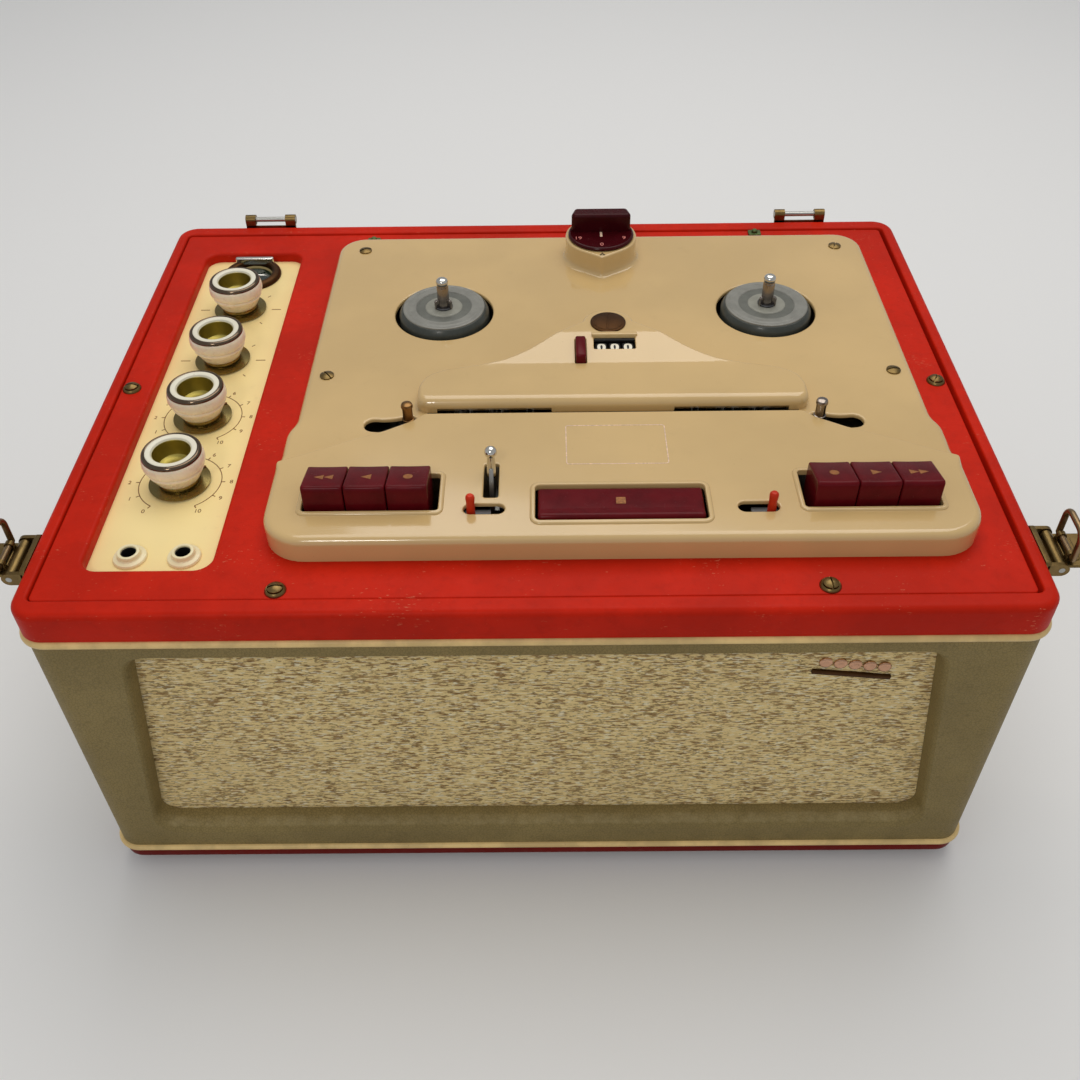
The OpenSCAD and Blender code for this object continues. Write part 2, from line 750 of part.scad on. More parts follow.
module tuning_eye() {
  tube_r = 12;
  tube_l = 66;
  hood_h = 9;
  on_panel(eye_y) {
    color([0.3, 0.2, 0.12]) difference() {
      cylinder(r = eye_r, h = 2.6);
      translate([0, 0, -over]) cylinder(r = tube_r + 0.2, h = 4 + over);
    }
    color([0.75, 0.75, 0.75]) translate([0, 0, 2.6]) difference() {
      cylinder(r = 14, h = hood_h);
      translate([0, 0, -over]) cylinder(r = 12.6, h = hood_h + 2 * over);
      translate([-20, -20, -over]) cube([40, 21, hood_h + 2 * over]);
    }
    color([0.1, 0.13, 0.1]) translate([0, 0, 1 - tube_l]) cylinder(r = tube_r, h = tube_l);
  }
}

// The amplifier's steel tray on the base board
amp_w = 66;
amp_l = 236;
amp_h = 48;
amp_x = panel_x;
amp_y = panel_y + panel_l / 2 + 10;

module amp_chassis() {
  t = 1.5;
  color([0.55, 0.56, 0.56]) translate([amp_x, amp_y, base_top]) difference() {
    translate([0, 0, amp_h / 2]) cube([amp_w, amp_l, amp_h], center = true);
    translate([0, 0, amp_h / 2 - t]) cube([amp_w - 2 * t, amp_l - 2 * t, amp_h], center = true);
  }
}

module valves() {
  r = 10.5;
  places = [[-14, -92], [14, -62], [-14, -32], [14, -2], [-14, 28]];
  color([0.75, 0.8, 0.78]) for (p = places)
    translate([amp_x + p[0], amp_y + p[1], base_top + amp_h]) {
      cylinder(r = r + 1, h = 5);
      translate([0, 0, 5]) cylinder(r = r, h = 42);
      translate([0, 0, 47]) sphere(r);
    }
}

module mains_transformer() {
  color([0.25, 0.25, 0.27]) translate([amp_x, amp_y + amp_l / 2 - 38, base_top + amp_h]) {
    translate([-28, -32, 0]) cube([56, 64, 50]);
    translate([-20, -24, 50]) cube([40, 48, 6]);
  }
}

// The deck plate's plan: straight sides, rounded back corners and wider shoulders
module deck_plan(g) {
  r = 16;
  w = deck_w - 2 * g;
  // The hollow runs out at the front, where the front cover closes it
  y = g > 0 ? seam_side_y - 1 : seam_side_y + 0.5;
  translate([-w / 2, shoulder_y]) square([w, deck_d - r - shoulder_y]);
  translate([-deck_w / 2 + r, shoulder_y]) square([deck_w - 2 * r, deck_d - g - shoulder_y]);
  for (s = [-1, 1]) translate([s * (deck_w / 2 - r), deck_d - r]) circle(r - g);
  polygon([[-cover_w / 2 + g, y], [cover_w / 2 - g, y],
           [cover_w / 2 - g, shoulder_y - 4], [w / 2, shoulder_y + 4], [w / 2 - 1, shoulder_y + 5],
           [1 - w / 2, shoulder_y + 5], [-w / 2, shoulder_y + 4], [-cover_w / 2 + g, shoulder_y - 4]]);
}

// An arc-shaped slot for a guide post, cut right through the deck plate
module guide_slot(s) {
  c = [-guide_pivot[0], guide_pivot[1]];
  ends = [guide_rest, guide_rest - guide_swing];
  n = 8;
  outer = [for (i = [0 : n]) let (a = ends[0] + (ends[1] - ends[0]) * i / n)
           c + (guide_reach + guide_slot_r) * [cos(a), sin(a)]];
  tip = [for (i = [1 : n - 1]) let (a = ends[1] - 180 * i / n)
         c + guide_reach * [cos(ends[1]), sin(ends[1])] + guide_slot_r * [cos(a), sin(a)]];
  inner = [for (i = [0 : n]) let (a = ends[1] + (ends[0] - ends[1]) * i / n)
           c + (guide_reach - guide_slot_r) * [cos(a), sin(a)]];
  tail = [for (i = [1 : n - 1]) let (a = ends[0] + 180 - 180 * i / n)
          c + guide_reach * [cos(ends[0]), sin(ends[0])] + guide_slot_r * [cos(a), sin(a)]];
  mirror([s > 0 ? 1 : 0, 0, 0]) translate([0, 0, -over]) linear_extrude(deck_h + 2 * over)
    polygon(concat(outer, tip, inner, tail));
}

// The bay for heads and rollers: under the front cover and within the head cover
module bay_plan() {
  side = [[bay_w / 2, seam_side_y - over], [bay_w / 2, 111], [91, 116.5], [84, 121.5], [68, 126],
          [51, 131.5], [43, 136], [37.5, 141], [28, 150.5], [27, 151.5]];
  polygon(concat(side, [for (i = [len(side) - 1 : -1 : 0]) [-side[i][0], side[i][1]]]));
}

module deck_plate() {
  color([0.82, 0.72, 0.55]) on_deck() difference() {
    linear_extrude(deck_h) deck_plan(0);
    translate([0, 0, -over]) linear_extrude(deck_h - skin + over) deck_plan(skin);
    translate([0, 0, -over]) linear_extrude(deck_h + 2 * over) bay_plan();
    for (s = [-1, 1]) translate([s * spool_pitch / 2, spool_y, -over])
      cylinder(r = spool_hole_r, h = deck_h + 2 * over);
    for (s = [-1, 1]) guide_slot(s);
    for (p = deck_screws) translate([p[0], p[1], -over]) cylinder(r = 2.1, h = deck_h + 2 * over);
    translate([0, pod_y, -over]) cylinder(r = 3 + run, h = deck_h + 2 * over);
    translate([0, cover_screw_y, -over]) cylinder(r = 2.6, h = deck_h + 2 * over);
  }
}

// The front cover's plan, less g all round
module cover_plan(g) {
  r = 20;
  w = cover_w - 2 * g;
  h = w / 2;
  translate([-h, r]) square([w, seam_side_y - r - g]);
  translate([-h + r - g, g]) square([w - 2 * r + 2 * g, seam_side_y - 2 * g]);
  for (s = [-1, 1]) translate([s * (cover_w / 2 - r), r]) circle(r - g);
  edge = [[deck_w / 2 - 10, 62], [deck_w / 2 - 26, 70], [deck_w / 2 - 46, 79],
          [deck_w / 2 - 59.5, 87], [deck_w / 2 - 65, cover_d]];
  right = [for (p = edge) [p[0] - g, p[1] - g]];
  left = [for (i = [len(edge) - 1 : -1 : 0]) [-right[i][0], right[i][1]]];
  polygon(concat([[-h, seam_side_y - g - 6], [h, seam_side_y - g - 6], [h, seam_side_y - g]],
                 right, left, [[-h, seam_side_y - g]]));
}

// Openings in the front cover, grown by g: two key banks, the stop bar, three slots
module cover_openings(g) {
  for (s = [-1, 1]) {
    translate([s > 0 ? bank_in - g : -bank_out - g, bank_front - g])
      square([bank_out - bank_in + 2 * g, bank_back - bank_front + 2 * g]);
    translate([s * trick_x, trick_y]) slot_plan(trick_slot[0] + 2 * g, trick_slot[1] + 2 * g);
  }
  translate([-stop_w / 2 - 1.2 - g, stop_y - 1.6 - g])
    square([stop_w + 2.4 + 2 * g, stop_d + 2.8 + 2 * g]);
}

module front_cover() {
  color([0.84, 0.74, 0.57]) on_deck() difference() {
    union() {
      translate([0, 0, cover_h - skin]) linear_extrude(skin) cover_plan(0);
      // The skirt, down to the red board at the front and sides
      linear_extrude(cover_h - skin / 2) difference() {
        cover_plan(0);
        cover_plan(skin);
        translate([-cover_w / 2 - 1, seam_side_y]) square([cover_w + 2, deck_d]);
      }
      // The lip along the back edge stands just over the deck plate
      translate([0, 0, deck_h + 0.3]) linear_extrude(cover_h - deck_h - 1) difference() {
        cover_plan(0);
        cover_plan(1.8);
        translate([-cover_w / 2 - 1, 0]) square([cover_w + 2, seam_side_y]);
      }
      // The deeper wall in front of the tape, open where the rollers come through
      translate([-bay_w / 2 + 1, cover_d - 1.8, 2]) cube([bay_w - 2, 1.8, cover_h - 3]);
      // Raised rims round the key banks and the stop bar
      translate([0, 0, cover_h - skin]) linear_extrude(skin + 1) difference() {
        union() {
          for (s = [-1, 1])
            translate([s > 0 ? bank_in - rim_lip : -bank_out - rim_lip, bank_front - rim_lip])
              square([bank_out - bank_in + 2 * rim_lip, bank_back - bank_front + 2 * rim_lip]);
          translate([-stop_w / 2 - 1.2 - rim_lip, stop_y - 1.6 - rim_lip])
            square([stop_w + 2.4 + 2 * rim_lip, stop_d + 2.8 + 2 * rim_lip]);
        }
        cover_openings(0);
      }
    }
    translate([0, 0, cover_h - skin - over]) linear_extrude(skin + 3 * over) cover_openings(0);
    translate([pause_x - pause_slot[0] / 2, pause_y, cover_h - skin - over])
      cube([pause_slot[0], pause_slot[1], skin + 3 * over]);
    for (s = [-1, 1]) translate([s * slot_window[0] - slot_window[1] / 2, cover_d - 2.8, -over])
      cube([slot_window[1], 4, cover_h - skin + over]);
  }
}

// The head cover's plan: straight front, waved back and a round lobe, less g
module head_plan(g) {
  side = [[99.5, 100], [99.5, 111.5], [97.5, 118], [94, 122], [87, 126], [70, 130], [53.5, 136],
          [46, 140.5], [40.5, 145.5], [30, 155.5], [22, 161.5], [12, 166]];
  right = [for (p = side) [p[0] - g, p[1] - (p[1] > 105 ? g : 0)]];
  left = [for (i = [len(side) - 1 : -1 : 0]) [-right[i][0], right[i][1]]];
  polygon(concat([[-96 + g, head_front + g], [96 - g, head_front + g]], right, left));
  translate([0, cover_screw_y]) circle(lobe_r - g);
}

module head_cover() {
  wedge = 22;
  crease = 129.5;
  color([0.84, 0.74, 0.57]) on_deck() difference() {
    union() {
      translate([0, 0, deck_h]) linear_extrude(head_h - deck_h) head_plan(0);
      // The counter's hump rises from the crease towards the lobe
      intersection() {
        translate([0, 0, deck_h]) linear_extrude(hump_h - deck_h) head_plan(0);
        side_bar(120) polygon([[crease, deck_h + 1], [crease, head_h],
                               [crease + wedge, hump_h], [crease + 60, hump_h], [crease + 60, deck_h + 1]]);
      }
    }
    // Hollow below, open at the front under the bullnose for the tape
    translate([0, 0, deck_h - over]) linear_extrude(head_h - skin - deck_h + over) difference() {
      head_plan(skin);
      translate([0, cover_screw_y]) circle(7);
    }
    for (s = [-1, 1]) translate([s * slot_window[0] - slot_window[1] / 2, head_front - over, deck_h - over])
      cube([slot_window[1], skin + 2 * over, head_h - skin - deck_h + over]);
    // The counter's window and room for its wheels, and the reset button's slot
    translate([counter_x - 11, wheel_y - 5.8, deck_h + over]) cube([22, 11.6, 20]);
    translate([counter_x - 11, wheel_y - wheel_r - 1, deck_h - over])
      cube([22, 2 * wheel_r + 2, head_h - deck_h - 1]);
    translate([counter_x, wheel_y, wheel_z]) rotate([0, 90, 0])
      cylinder(r = wheel_r + 0.5, h = 22, center = true);
    translate([reset_x - reset_w / 2 - reset_gap, reset_y - reset_gap, deck_h - over])
      cube([reset_w + 2 * reset_gap, reset_d + 2 * reset_gap, 20]);
    translate([0, cover_screw_y, deck_h - over]) cylinder(r = 2.6, h = 20);
  }
}

module cover_screw() {
  color([0.42, 0.3, 0.16]) on_deck() translate([0, cover_screw_y, hump_h]) difference() {
    union() {
      cylinder(r = cover_screw_r, h = 2);
      translate([0, 0, -hump_h - chassis_drop + 0.2]) cylinder(r = 2.4, h = hump_h + chassis_drop);
    }
    translate([-cover_screw_r - 1, -0.9, 1]) cube([2 * cover_screw_r + 2, 1.8, 2]);
  }
}

module speed_housing() {
  color([0.86, 0.77, 0.6]) on_deck() difference() {
    hull() {
      translate([0, pod_y, deck_h]) cylinder(r = pod_r, h = pod_h, $fn = 64);
      translate([0, pod_y - pod_reach, deck_h]) cylinder(r = pod_tip_r, h = pod_h, $fn = 32);
    }
    translate([0, pod_y, deck_h - over]) cylinder(r = 3 + run, h = pod_h + 2 * over);
  }
}

module speed_selector() {
  disc = 2.2;
  grip = 12.8;
  z = deck_h + pod_h + 0.2;
  color([0.35, 0.06, 0.1]) on_deck() translate([0, pod_y, z]) {
    cylinder(r = selector_r, h = disc);
    intersection() {
      cylinder(r = selector_r - 0.8, h = disc + grip);
      translate([-selector_r, 1, 0]) cube([2 * selector_r, 10, disc + grip]);
    }
    translate([0, 0, -z - 4]) cylinder(r = 3, h = z + 4);
  }
}

// A spool turntable with its ringed top, its shaft and pulley, and its spindle
module spool(s) {
  top = deck_h + 3.5;
  shaft = spool_shaft_r;
  tip = top + spindle_h;
  // The foot of the spindle, inside its three vanes, is a little thinner
  foot_r = spindle_r - 0.25;
  vane_h = 7.5;
  on_deck() translate([s * spool_pitch / 2, spool_y, 0]) {
    color([0.6, 0.6, 0.58]) rotate_extrude()
      polygon([[0, chassis_low - 18], [shaft, chassis_low - 18], [shaft, 3], [turntable_r - 3, 3],
               [turntable_r, 4], [turntable_r, top - 2.4], [turntable_r - 1.6, top - 0.6],
               [turntable_r - 4, top], [19, top], [18, top - 0.8], [13, top - 0.8], [12, top],
               [foot_r, top], [foot_r, top - 3], [0, top - 3]]);
    color([0.5, 0.5, 0.48]) translate([0, 0, chassis_low - 16]) difference() {
      cylinder(r = 23, h = 8);
      translate([0, 0, -over]) cylinder(r = shaft, h = 8 + 2 * over);
    }
    color([0.85, 0.85, 0.86]) {
      rotate_extrude() polygon([[0, top - 3], [foot_r, top - 3], [foot_r, top + vane_h],
                                [spindle_r, top + vane_h], [spindle_r, tip - 5],
                                [spindle_r - 0.5, tip - 3.2], [spindle_r - 0.3, tip - 2.4],
                                [spindle_r - 1.2, tip - 0.8], [1.4, tip], [0, tip]]);
      for (a = [90, 210, 330]) rotate([0, 0, a]) translate([foot_r - 0.6, -0.8, top])
        cube([3, 1.6, vane_h]);
    }
  }
}

module spool_left() { spool(-1); }
module spool_right() { spool(1); }

// A transport key: block, lever back to its pivot rod
module key(side, i) {
  x = side * (key_first + i * key_pitch);
  lever_w = 7;
  color([0.42, 0.05, 0.1]) on_deck() translate([x, 0, 0]) difference() {
    union() {
      side_bar(key_w)
        polygon([[key_y, -3], [key_y + 0.5, key_top - 1.2], [key_y + 1.6, key_top],
                 [key_y + key_d - 1, key_top - key_fall], [key_y + key_d, key_top - key_fall - 1],
                 [key_y + key_d, -3]]);
      side_bar(lever_w) polygon([[key_y + key_d - 1, -3], [key_y + key_d - 1, 3],
                                 [key_pivot_y, 3.5], [key_pivot_y + 3, 2.5], [key_pivot_y + 3, -2.5],
                                 [key_pivot_y, -3]]);
    }
    translate([0, key_pivot_y, 0]) rotate([0, 90, 0])
      cylinder(r = rod_r + run, h = lever_w + over, center = true);
  }
}

module key_left_1() { key(-1, 2); }
module key_left_2() { key(-1, 1); }
module key_left_3() { key(-1, 0); }
module key_right_1() { key(1, 0); }
module key_right_2() { key(1, 1); }
module key_right_3() { key(1, 2); }

module stop_bar() {
  arm_x = stop_w / 2 - 10;
  top = cover_h + 1.4;
  color([0.42, 0.05, 0.1]) on_deck() difference() {
    union() {
      side_bar(stop_w) polygon([[stop_y, -2], [stop_y + 0.3, top - 0.8], [stop_y + 1, top],
                                [stop_y + 5, top - 1], [stop_y + stop_d - 1, top - 1.2],
                                [stop_y + stop_d, top - 2], [stop_y + stop_d, -2]]);
      for (s = [-1, 1]) translate([s * arm_x, 0, 0]) side_bar(6)
        polygon([[stop_y + stop_d - 1, -2], [stop_y + stop_d - 1, 3], [key_pivot_y, 3],
                 [key_pivot_y + 3, 2], [key_pivot_y + 3, -2], [key_pivot_y, -3]]);
    }
    translate([0, key_pivot_y, 0]) rotate([0, 90, 0])
      cylinder(r = rod_r + run, h = stop_w, center = true);
  }
}

// The pause lever: a flat blade in its slot, a round stem and a ball
pause_pivot = [40, -4];
pause_tip = [46, 25];

module pause_lever() {
  blade = 2;
  color([0.8, 0.8, 0.8]) on_deck() translate([pause_x, 0, 0]) difference() {
    union() {
      side_bar(blade) polygon([[pause_pivot[0] - 5, pause_pivot[1] - 3],
                               [pause_pivot[0] + 5, pause_pivot[1] - 3],
                               [pause_tip[0] + 1.6, 17], [pause_tip[0] - 3.4, 17],
                               [pause_pivot[0] - 5, pause_pivot[1] + 6]]);
      translate([0, pause_tip[0] - 1, 15]) rotate([-6, 0, 0]) cylinder(r = 1.5, h = 9);
      translate([0, pause_tip[0], pause_tip[1]]) sphere(3);
    }
    translate([0, pause_pivot[0], pause_pivot[1]]) rotate([0, 90, 0])
      cylinder(r = rod_r + run, h = blade + over, center = true);
  }
}

// A small sliding lever: a peg on a flat tongue under the front cover
module trick_lever(s) {
  start = s * (trick_x + (trick_slot[0] - trick_slot[1]) / 2);
  peg_r = 2.5;
  color([0.75, 0.22, 0.1]) on_deck() translate([start, trick_y, 0]) {
    translate([0, 0, cover_h - skin - 3]) rotate_extrude()
      polygon([[0, 0], [peg_r, 0], [peg_r - 0.3, 10], [peg_r, 13], [1.4, 14.6], [0, 14.8]]);
    translate([-s * 1.5 - 8, -5, cover_h - skin - 0.1 - 1.6]) cube([16, 10, 1.6]);
  }
}

module trick_lever_left() { trick_lever(-1); }
module trick_lever_right() { trick_lever(1); }

module reset_button() {
  top = hump_h + 1.5;
  color([0.42, 0.08, 0.14]) on_deck() translate([reset_x, 0, 0]) {
    side_bar(reset_w) polygon([[reset_y, deck_h + 1], [reset_y, top - 1.4], [reset_y + 1.2, top],
                               [reset_y + reset_d - 1, top], [reset_y + reset_d, top - 1],
                               [reset_y + reset_d, deck_h + 1]]);
  }
}

module counter_wheel(i) {
  color([0.9, 0.88, 0.8]) on_deck()
    translate([counter_x + (i - 1) * wheel_pitch, wheel_y, wheel_z]) rotate([0, 90, 0])
    difference() {
      cylinder(r = wheel_r, h = wheel_w, center = true);
      cylinder(r = 1 + run, h = wheel_w + over, center = true);
    }
}

module counter_units() { counter_wheel(2); }

// The two carry wheels and the axle that all three wheels run on
module counter_carry() {
  counter_wheel(0);
  counter_wheel(1);
  color([0.7, 0.7, 0.7]) on_deck() translate([counter_x, wheel_y, wheel_z])
    rotate([0, 90, 0]) cylinder(r = 1, h = 21.8, center = true);
}

// A guide arm under the deck plate with its post standing up through the slot
module guide_arm(s) {
  post_top = 21;
  arm_low = 1;
  arm_t = 3;
  on_deck() mirror([s > 0 ? 1 : 0, 0, 0]) translate([-guide_pivot[0], guide_pivot[1], 0])
    rotate([0, 0, guide_rest]) {
      color([0.5, 0.5, 0.5]) difference() {
        union() {
          translate([0, 0, arm_low]) cylinder(r = 5, h = arm_t);
          translate([0, -3, arm_low]) cube([guide_reach, 6, arm_t]);
          translate([guide_reach, 0, arm_low]) cylinder(r = 3, h = arm_t);
        }
        translate([0, 0, arm_low - over]) cylinder(r = 2 + run, h = arm_t + 2 * over);
      }
      color([0.55, 0.45, 0.35]) translate([guide_reach, 0, arm_low + arm_t])
        cylinder(r = guide_r, h = post_top - arm_low - arm_t);
    }
}

module guide_arm_left() { guide_arm(-1); }
module guide_arm_right() { guide_arm(1); }

module capstan(s) {
  wheel_t = 14;
  on_deck() translate([s * capstan_x, capstan_y, 0]) {
    color([0.8, 0.8, 0.8]) translate([0, 0, chassis_low - 20]) cylinder(r = capstan_r, h = 10.5 - chassis_low + 20);
    color([0.5, 0.5, 0.5]) translate([0, 0, chassis_low - 20]) difference() {
      cylinder(r = flywheel_r, h = wheel_t);
      translate([0, 0, -over]) cylinder(r = capstan_r, h = wheel_t + 2 * over);
    }
  }
}

module capstan_left() { capstan(-1); }
module capstan_right() { capstan(1); }

// A pinch roller on its arm, clear of the tape until it swings towards the capstan
module pinch_arm(s) {
  arm_t = 2.5;
  arm_low = -chassis_drop + 0.4;
  on_deck() mirror([s > 0 ? 0 : 1, 0, 0]) translate([capstan_x + pinch_x, roller_y, 0]) {
    color([0.5, 0.5, 0.5]) difference() {
      union() {
        translate([0, 0, arm_low]) cylinder(r = 5, h = arm_t);
        translate([-pinch_x, -3, arm_low]) cube([pinch_x, 6, arm_t]);
      }
      translate([0, 0, arm_low - over]) cylinder(r = 2 + run, h = arm_t + 2 * over);
    }
    color([0.12, 0.12, 0.12]) translate([-pinch_x, 0, arm_low + arm_t - 0.5])
      cylinder(r = roller_r, h = 14.5);
  }
}

module pinch_arm_left() { pinch_arm(-1); }
module pinch_arm_right() { pinch_arm(1); }

// A stack of two heads on its base, at each side of the deck
module tape_heads() {
  head_w = 12;
  head_low = 3 - chassis_drop;
  color([0.75, 0.75, 0.72]) on_deck() for (s = [-1, 1]) {
    for (x = [59, 75]) translate([s * x, head_front + 7, head_low]) {
      translate([-head_w / 2, -3.5, 0]) cube([head_w, 12, 15]);
      translate([0, -2, 0]) cylinder(r = 4, h = 15);
    }
    translate([s * 67 - 17, head_front + 1.5, -chassis_drop]) cube([34, 18, 3]);
  }
}

motor_r = 31;
motor_h = 58;

module motors() {
  color([0.35, 0.36, 0.38]) on_deck() for (s = [-1, 1])
    translate([s * 38, spool_y + 36, chassis_low - motor_h]) {
      cylinder(r = motor_r, h = motor_h);
      translate([0, 0, -5]) cylinder(r = 9, h = 5);
    }
}

// The chassis plate with its pillars, bearings, pivot studs and key rods
module deck_chassis() {
  half = cut_w / 2 - 2;
  near = 50;
  bearing_r = 8;
  color([0.6, 0.6, 0.6]) on_deck() difference() {
    union() {
      translate([-half, near, chassis_low]) cube([2 * half, cut_back - near - 2, chassis_t]);
      for (p = deck_screws) translate([p[0], p[1], -chassis_drop])
        cylinder(r = pillar_r, h = chassis_drop + deck_h - skin);
      for (s = [-1, 1]) {
        translate([s * spool_pitch / 2, spool_y, chassis_low]) cylinder(r = bearing_r, h = chassis_drop + chassis_t + 2);
        // Low enough for the pinch roller to swing over it
        translate([s * capstan_x, capstan_y, chassis_low]) cylinder(r = 5, h = chassis_t + 1.5);
        // Studs for the guide arms and the pinch arms
        translate([s * guide_pivot[0], guide_pivot[1], -chassis_drop]) cylinder(r = 4, h = chassis_drop + 1);
        translate([s * guide_pivot[0], guide_pivot[1], -chassis_drop]) cylinder(r = 2, h = chassis_drop + 5);
        translate([s * (capstan_x + pinch_x), roller_y, -chassis_drop]) cylinder(r = 2, h = 4);
        // Ears that hold a key bank's rod
        for (x = [bank_in - 1, bank_out - 1.2]) translate([s * x - 1, key_pivot_y - 4, -chassis_drop])
          cube([2, 8, chassis_drop + 4]);
        translate([s * (bank_in + bank_out) / 2 - s * 1.1, key_pivot_y, 0]) rotate([0, 90, 0])
          cylinder(r = rod_r, h = bank_out - bank_in, center = true);
        // Ears and rods of the stop bar's arms
        for (x = [stop_w / 2 - 15, stop_w / 2 - 5]) translate([s * x - 1, key_pivot_y - 4, -chassis_drop])
          cube([2, 8, chassis_drop + 4]);
        translate([s * (stop_w / 2 - 10), key_pivot_y, 0]) rotate([0, 90, 0])
          cylinder(r = rod_r, h = 12, center = true);
      }
      // The pause lever's bracket reaches forward from the plate's front edge
      translate([pause_x + 1.4, pause_pivot[0] - 5, chassis_low]) cube([2, near - pause_pivot[0] + 7, 9]);
      translate([pause_x + 2, pause_pivot[0], pause_pivot[1]]) rotate([0, 90, 0])
        cylinder(r = rod_r, h = 6, center = true);
      translate([0, cover_screw_y, -chassis_drop]) cylinder(r = 6, h = chassis_drop + deck_h - skin);
    }
    for (s = [-1, 1]) {
      translate([s * spool_pitch / 2, spool_y, chassis_low - over]) cylinder(r = spool_shaft_r + run, h = 30);
      translate([s * capstan_x, capstan_y, chassis_low - over]) cylinder(r = capstan_r + run, h = 30);
    }
    for (p = deck_screws) translate([p[0], p[1], -7]) cylinder(r = 2, h = 20);
    translate([0, cover_screw_y, -chassis_drop]) cylinder(r = 2.5, h = 20);
  }
}

case_shell();
base_board();
rim_frame();
deck_board();
piping();
grille_cloth();
baffle_board();
speaker_frame();
speaker_cone();
fixing_screws();
rubber_feet();
rear_hinges();
latch_plates();
latch_lever_left();
latch_lever_right();
latch_bail_left();
latch_bail_right();
grille_badge();
mains_gland();
control_panel();
knob_1();
knob_2();
knob_3();
knob_4();
potentiometers();
jack_sockets();
tuning_eye();
amp_chassis();
valves();
mains_transformer();
deck_plate();
front_cover();
head_cover();
cover_screw();
speed_housing();
speed_selector();
spool_left();
spool_right();
key_left_1();
key_left_2();
key_left_3();
key_right_1();
key_right_2();
key_right_3();
stop_bar();
pause_lever();
trick_lever_left();
trick_lever_right();
reset_button();
counter_units();
counter_carry();
guide_arm_left();
guide_arm_right();
capstan_left();
capstan_right();
pinch_arm_left();
pinch_arm_right();
tape_heads();
motors();
deck_chassis();
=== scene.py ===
"""Dresses the packed tape recorder: every visible piece is worked out with numpy
as an outline carried through rows, a turned profile or a tube, and gets node
materials. Sizes are millimetres in the code and metres in the meshes."""
from math import cos, pi, radians, sin

import bpy
import numpy as np
from mathutils import Euler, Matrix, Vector, geometry


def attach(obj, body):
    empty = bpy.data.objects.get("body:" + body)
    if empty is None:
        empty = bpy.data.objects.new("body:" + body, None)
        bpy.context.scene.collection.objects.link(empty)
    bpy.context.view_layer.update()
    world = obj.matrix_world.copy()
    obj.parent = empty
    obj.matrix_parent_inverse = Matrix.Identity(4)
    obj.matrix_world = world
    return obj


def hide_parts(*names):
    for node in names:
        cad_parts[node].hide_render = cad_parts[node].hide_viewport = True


bl_info = {
    "name": "Reel-to-reel tape recorder",
    "version": (1, 0, 0),
    "blender": (4, 5, 0),
    "location": "3D View > Sidebar > Tape recorder",
    "description": "Dresses the tape recorder's solids with rounded, finished pieces",
    "category": "Object",
}

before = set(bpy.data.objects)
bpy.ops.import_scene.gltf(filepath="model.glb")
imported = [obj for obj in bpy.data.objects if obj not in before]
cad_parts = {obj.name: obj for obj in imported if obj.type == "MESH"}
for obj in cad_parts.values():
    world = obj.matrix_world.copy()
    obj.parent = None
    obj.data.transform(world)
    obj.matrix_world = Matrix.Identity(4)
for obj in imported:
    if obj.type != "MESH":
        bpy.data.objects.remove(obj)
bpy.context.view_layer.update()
MM = 0.001

# Cabinet, in millimetres
MID_Y = -3.0
BODY_X, BODY_FRONT, BODY_BACK, BODY_R = 228.4, -172.9, 166.0, 12.0
WALL, WALL_LOW, WALL_TOP = 9.0, 18.6, 181.0
BASE_LOW, BASE_TOP = 7.0, 15.0
RIM_X, RIM_FRONT, RIM_BACK = 229.0, MID_Y - 170.7, MID_Y + 171.5
RIM_LOW, RIM_TOP = 185.0, 202.2
BOARD_LOW, BOARD_TOP = 195.2, 201.2
GLAND_X, GLAND_Z = -150.0, 58.6
BADGE = (148.5, -163.0, 153.6)
FOOT_X, FOOT_Y = 196.0, 137.5
BOARD_SCREWS = ((-113.5, -158.3), (130.0, -158.3), (-215.8, -7.5), (214.4, -7.5))
LID_CLIPS = ((-102.0, 148.5), (140.0, 153.5))
LATCH, LATCH_PIN_X = (230.0, -132.5, 196.2), 7.0
LOOP_X, LOOP_Z = 12.0, 3.4
HINGE_X, HINGE_Y, HINGE_Z = 171.0, 171.5, 205.2

# Control panel
PANEL_X, PANEL_Z = -175.0, 195.2
PANEL_HALF, PANEL_Y0, PANEL_Y1 = 29.5, -144.5, 135.0
KNOB_Y = (-78.1, -25.6, 26.9, 79.4)
JACK_X, JACK_Y = (-186.0, -161.0), -131.0
EYE_Y = 118.0

# Deck: x from its middle, y back from the front cover's edge, z up from the board's top
DECK = (40.0, -140.5, 201.2)
DECK_BACK, DECK_X = 278.0, 163.5
SKIN = 2.0
PLATE_TOP, COVER_TOP, HEAD_TOP = 9.0, 13.0, 16.5
DECK_SCREWS = ((-143.3, 261.0), (143.3, 261.0), (-149.5, 130.5), (149.5, 130.5))
SPOOL_X, SPOOL_Y = 91.0, 191.0
POD_Y = 254.0
LOBE_Y = 160.0
GUIDE_X, GUIDE_Y, GUIDE_ARM, GUIDE_REST, GUIDE_END = -115.0, 119.0, 31.4, -67.5, -99.5
KEY_PIVOT_Y = 74.0
SELECTOR_BORE, SCREW_BORE = 3.1, 2.6
PAUSE_X, PAUSE_Y = -59.8, 46.0
TRICK_X, TRICK_Y = 68.6, 20.3
STOP_MARK_Y = 24.5
COUNTER = (2.8, 142.0, 10.5)
WHEEL_R, WHEEL_PITCH = 8.0, 7.0
RESET_X = -15.3


def tone(r, g, b):
    """Linear colour of an eight-bit display colour, by the display's own curve."""
    c = np.array([r, g, b]) / 255.0
    return tuple(float(x) for x in np.where(c <= 0.04045, c / 12.92, ((c + 0.055) / 1.055) ** 2.4))


# Outlines

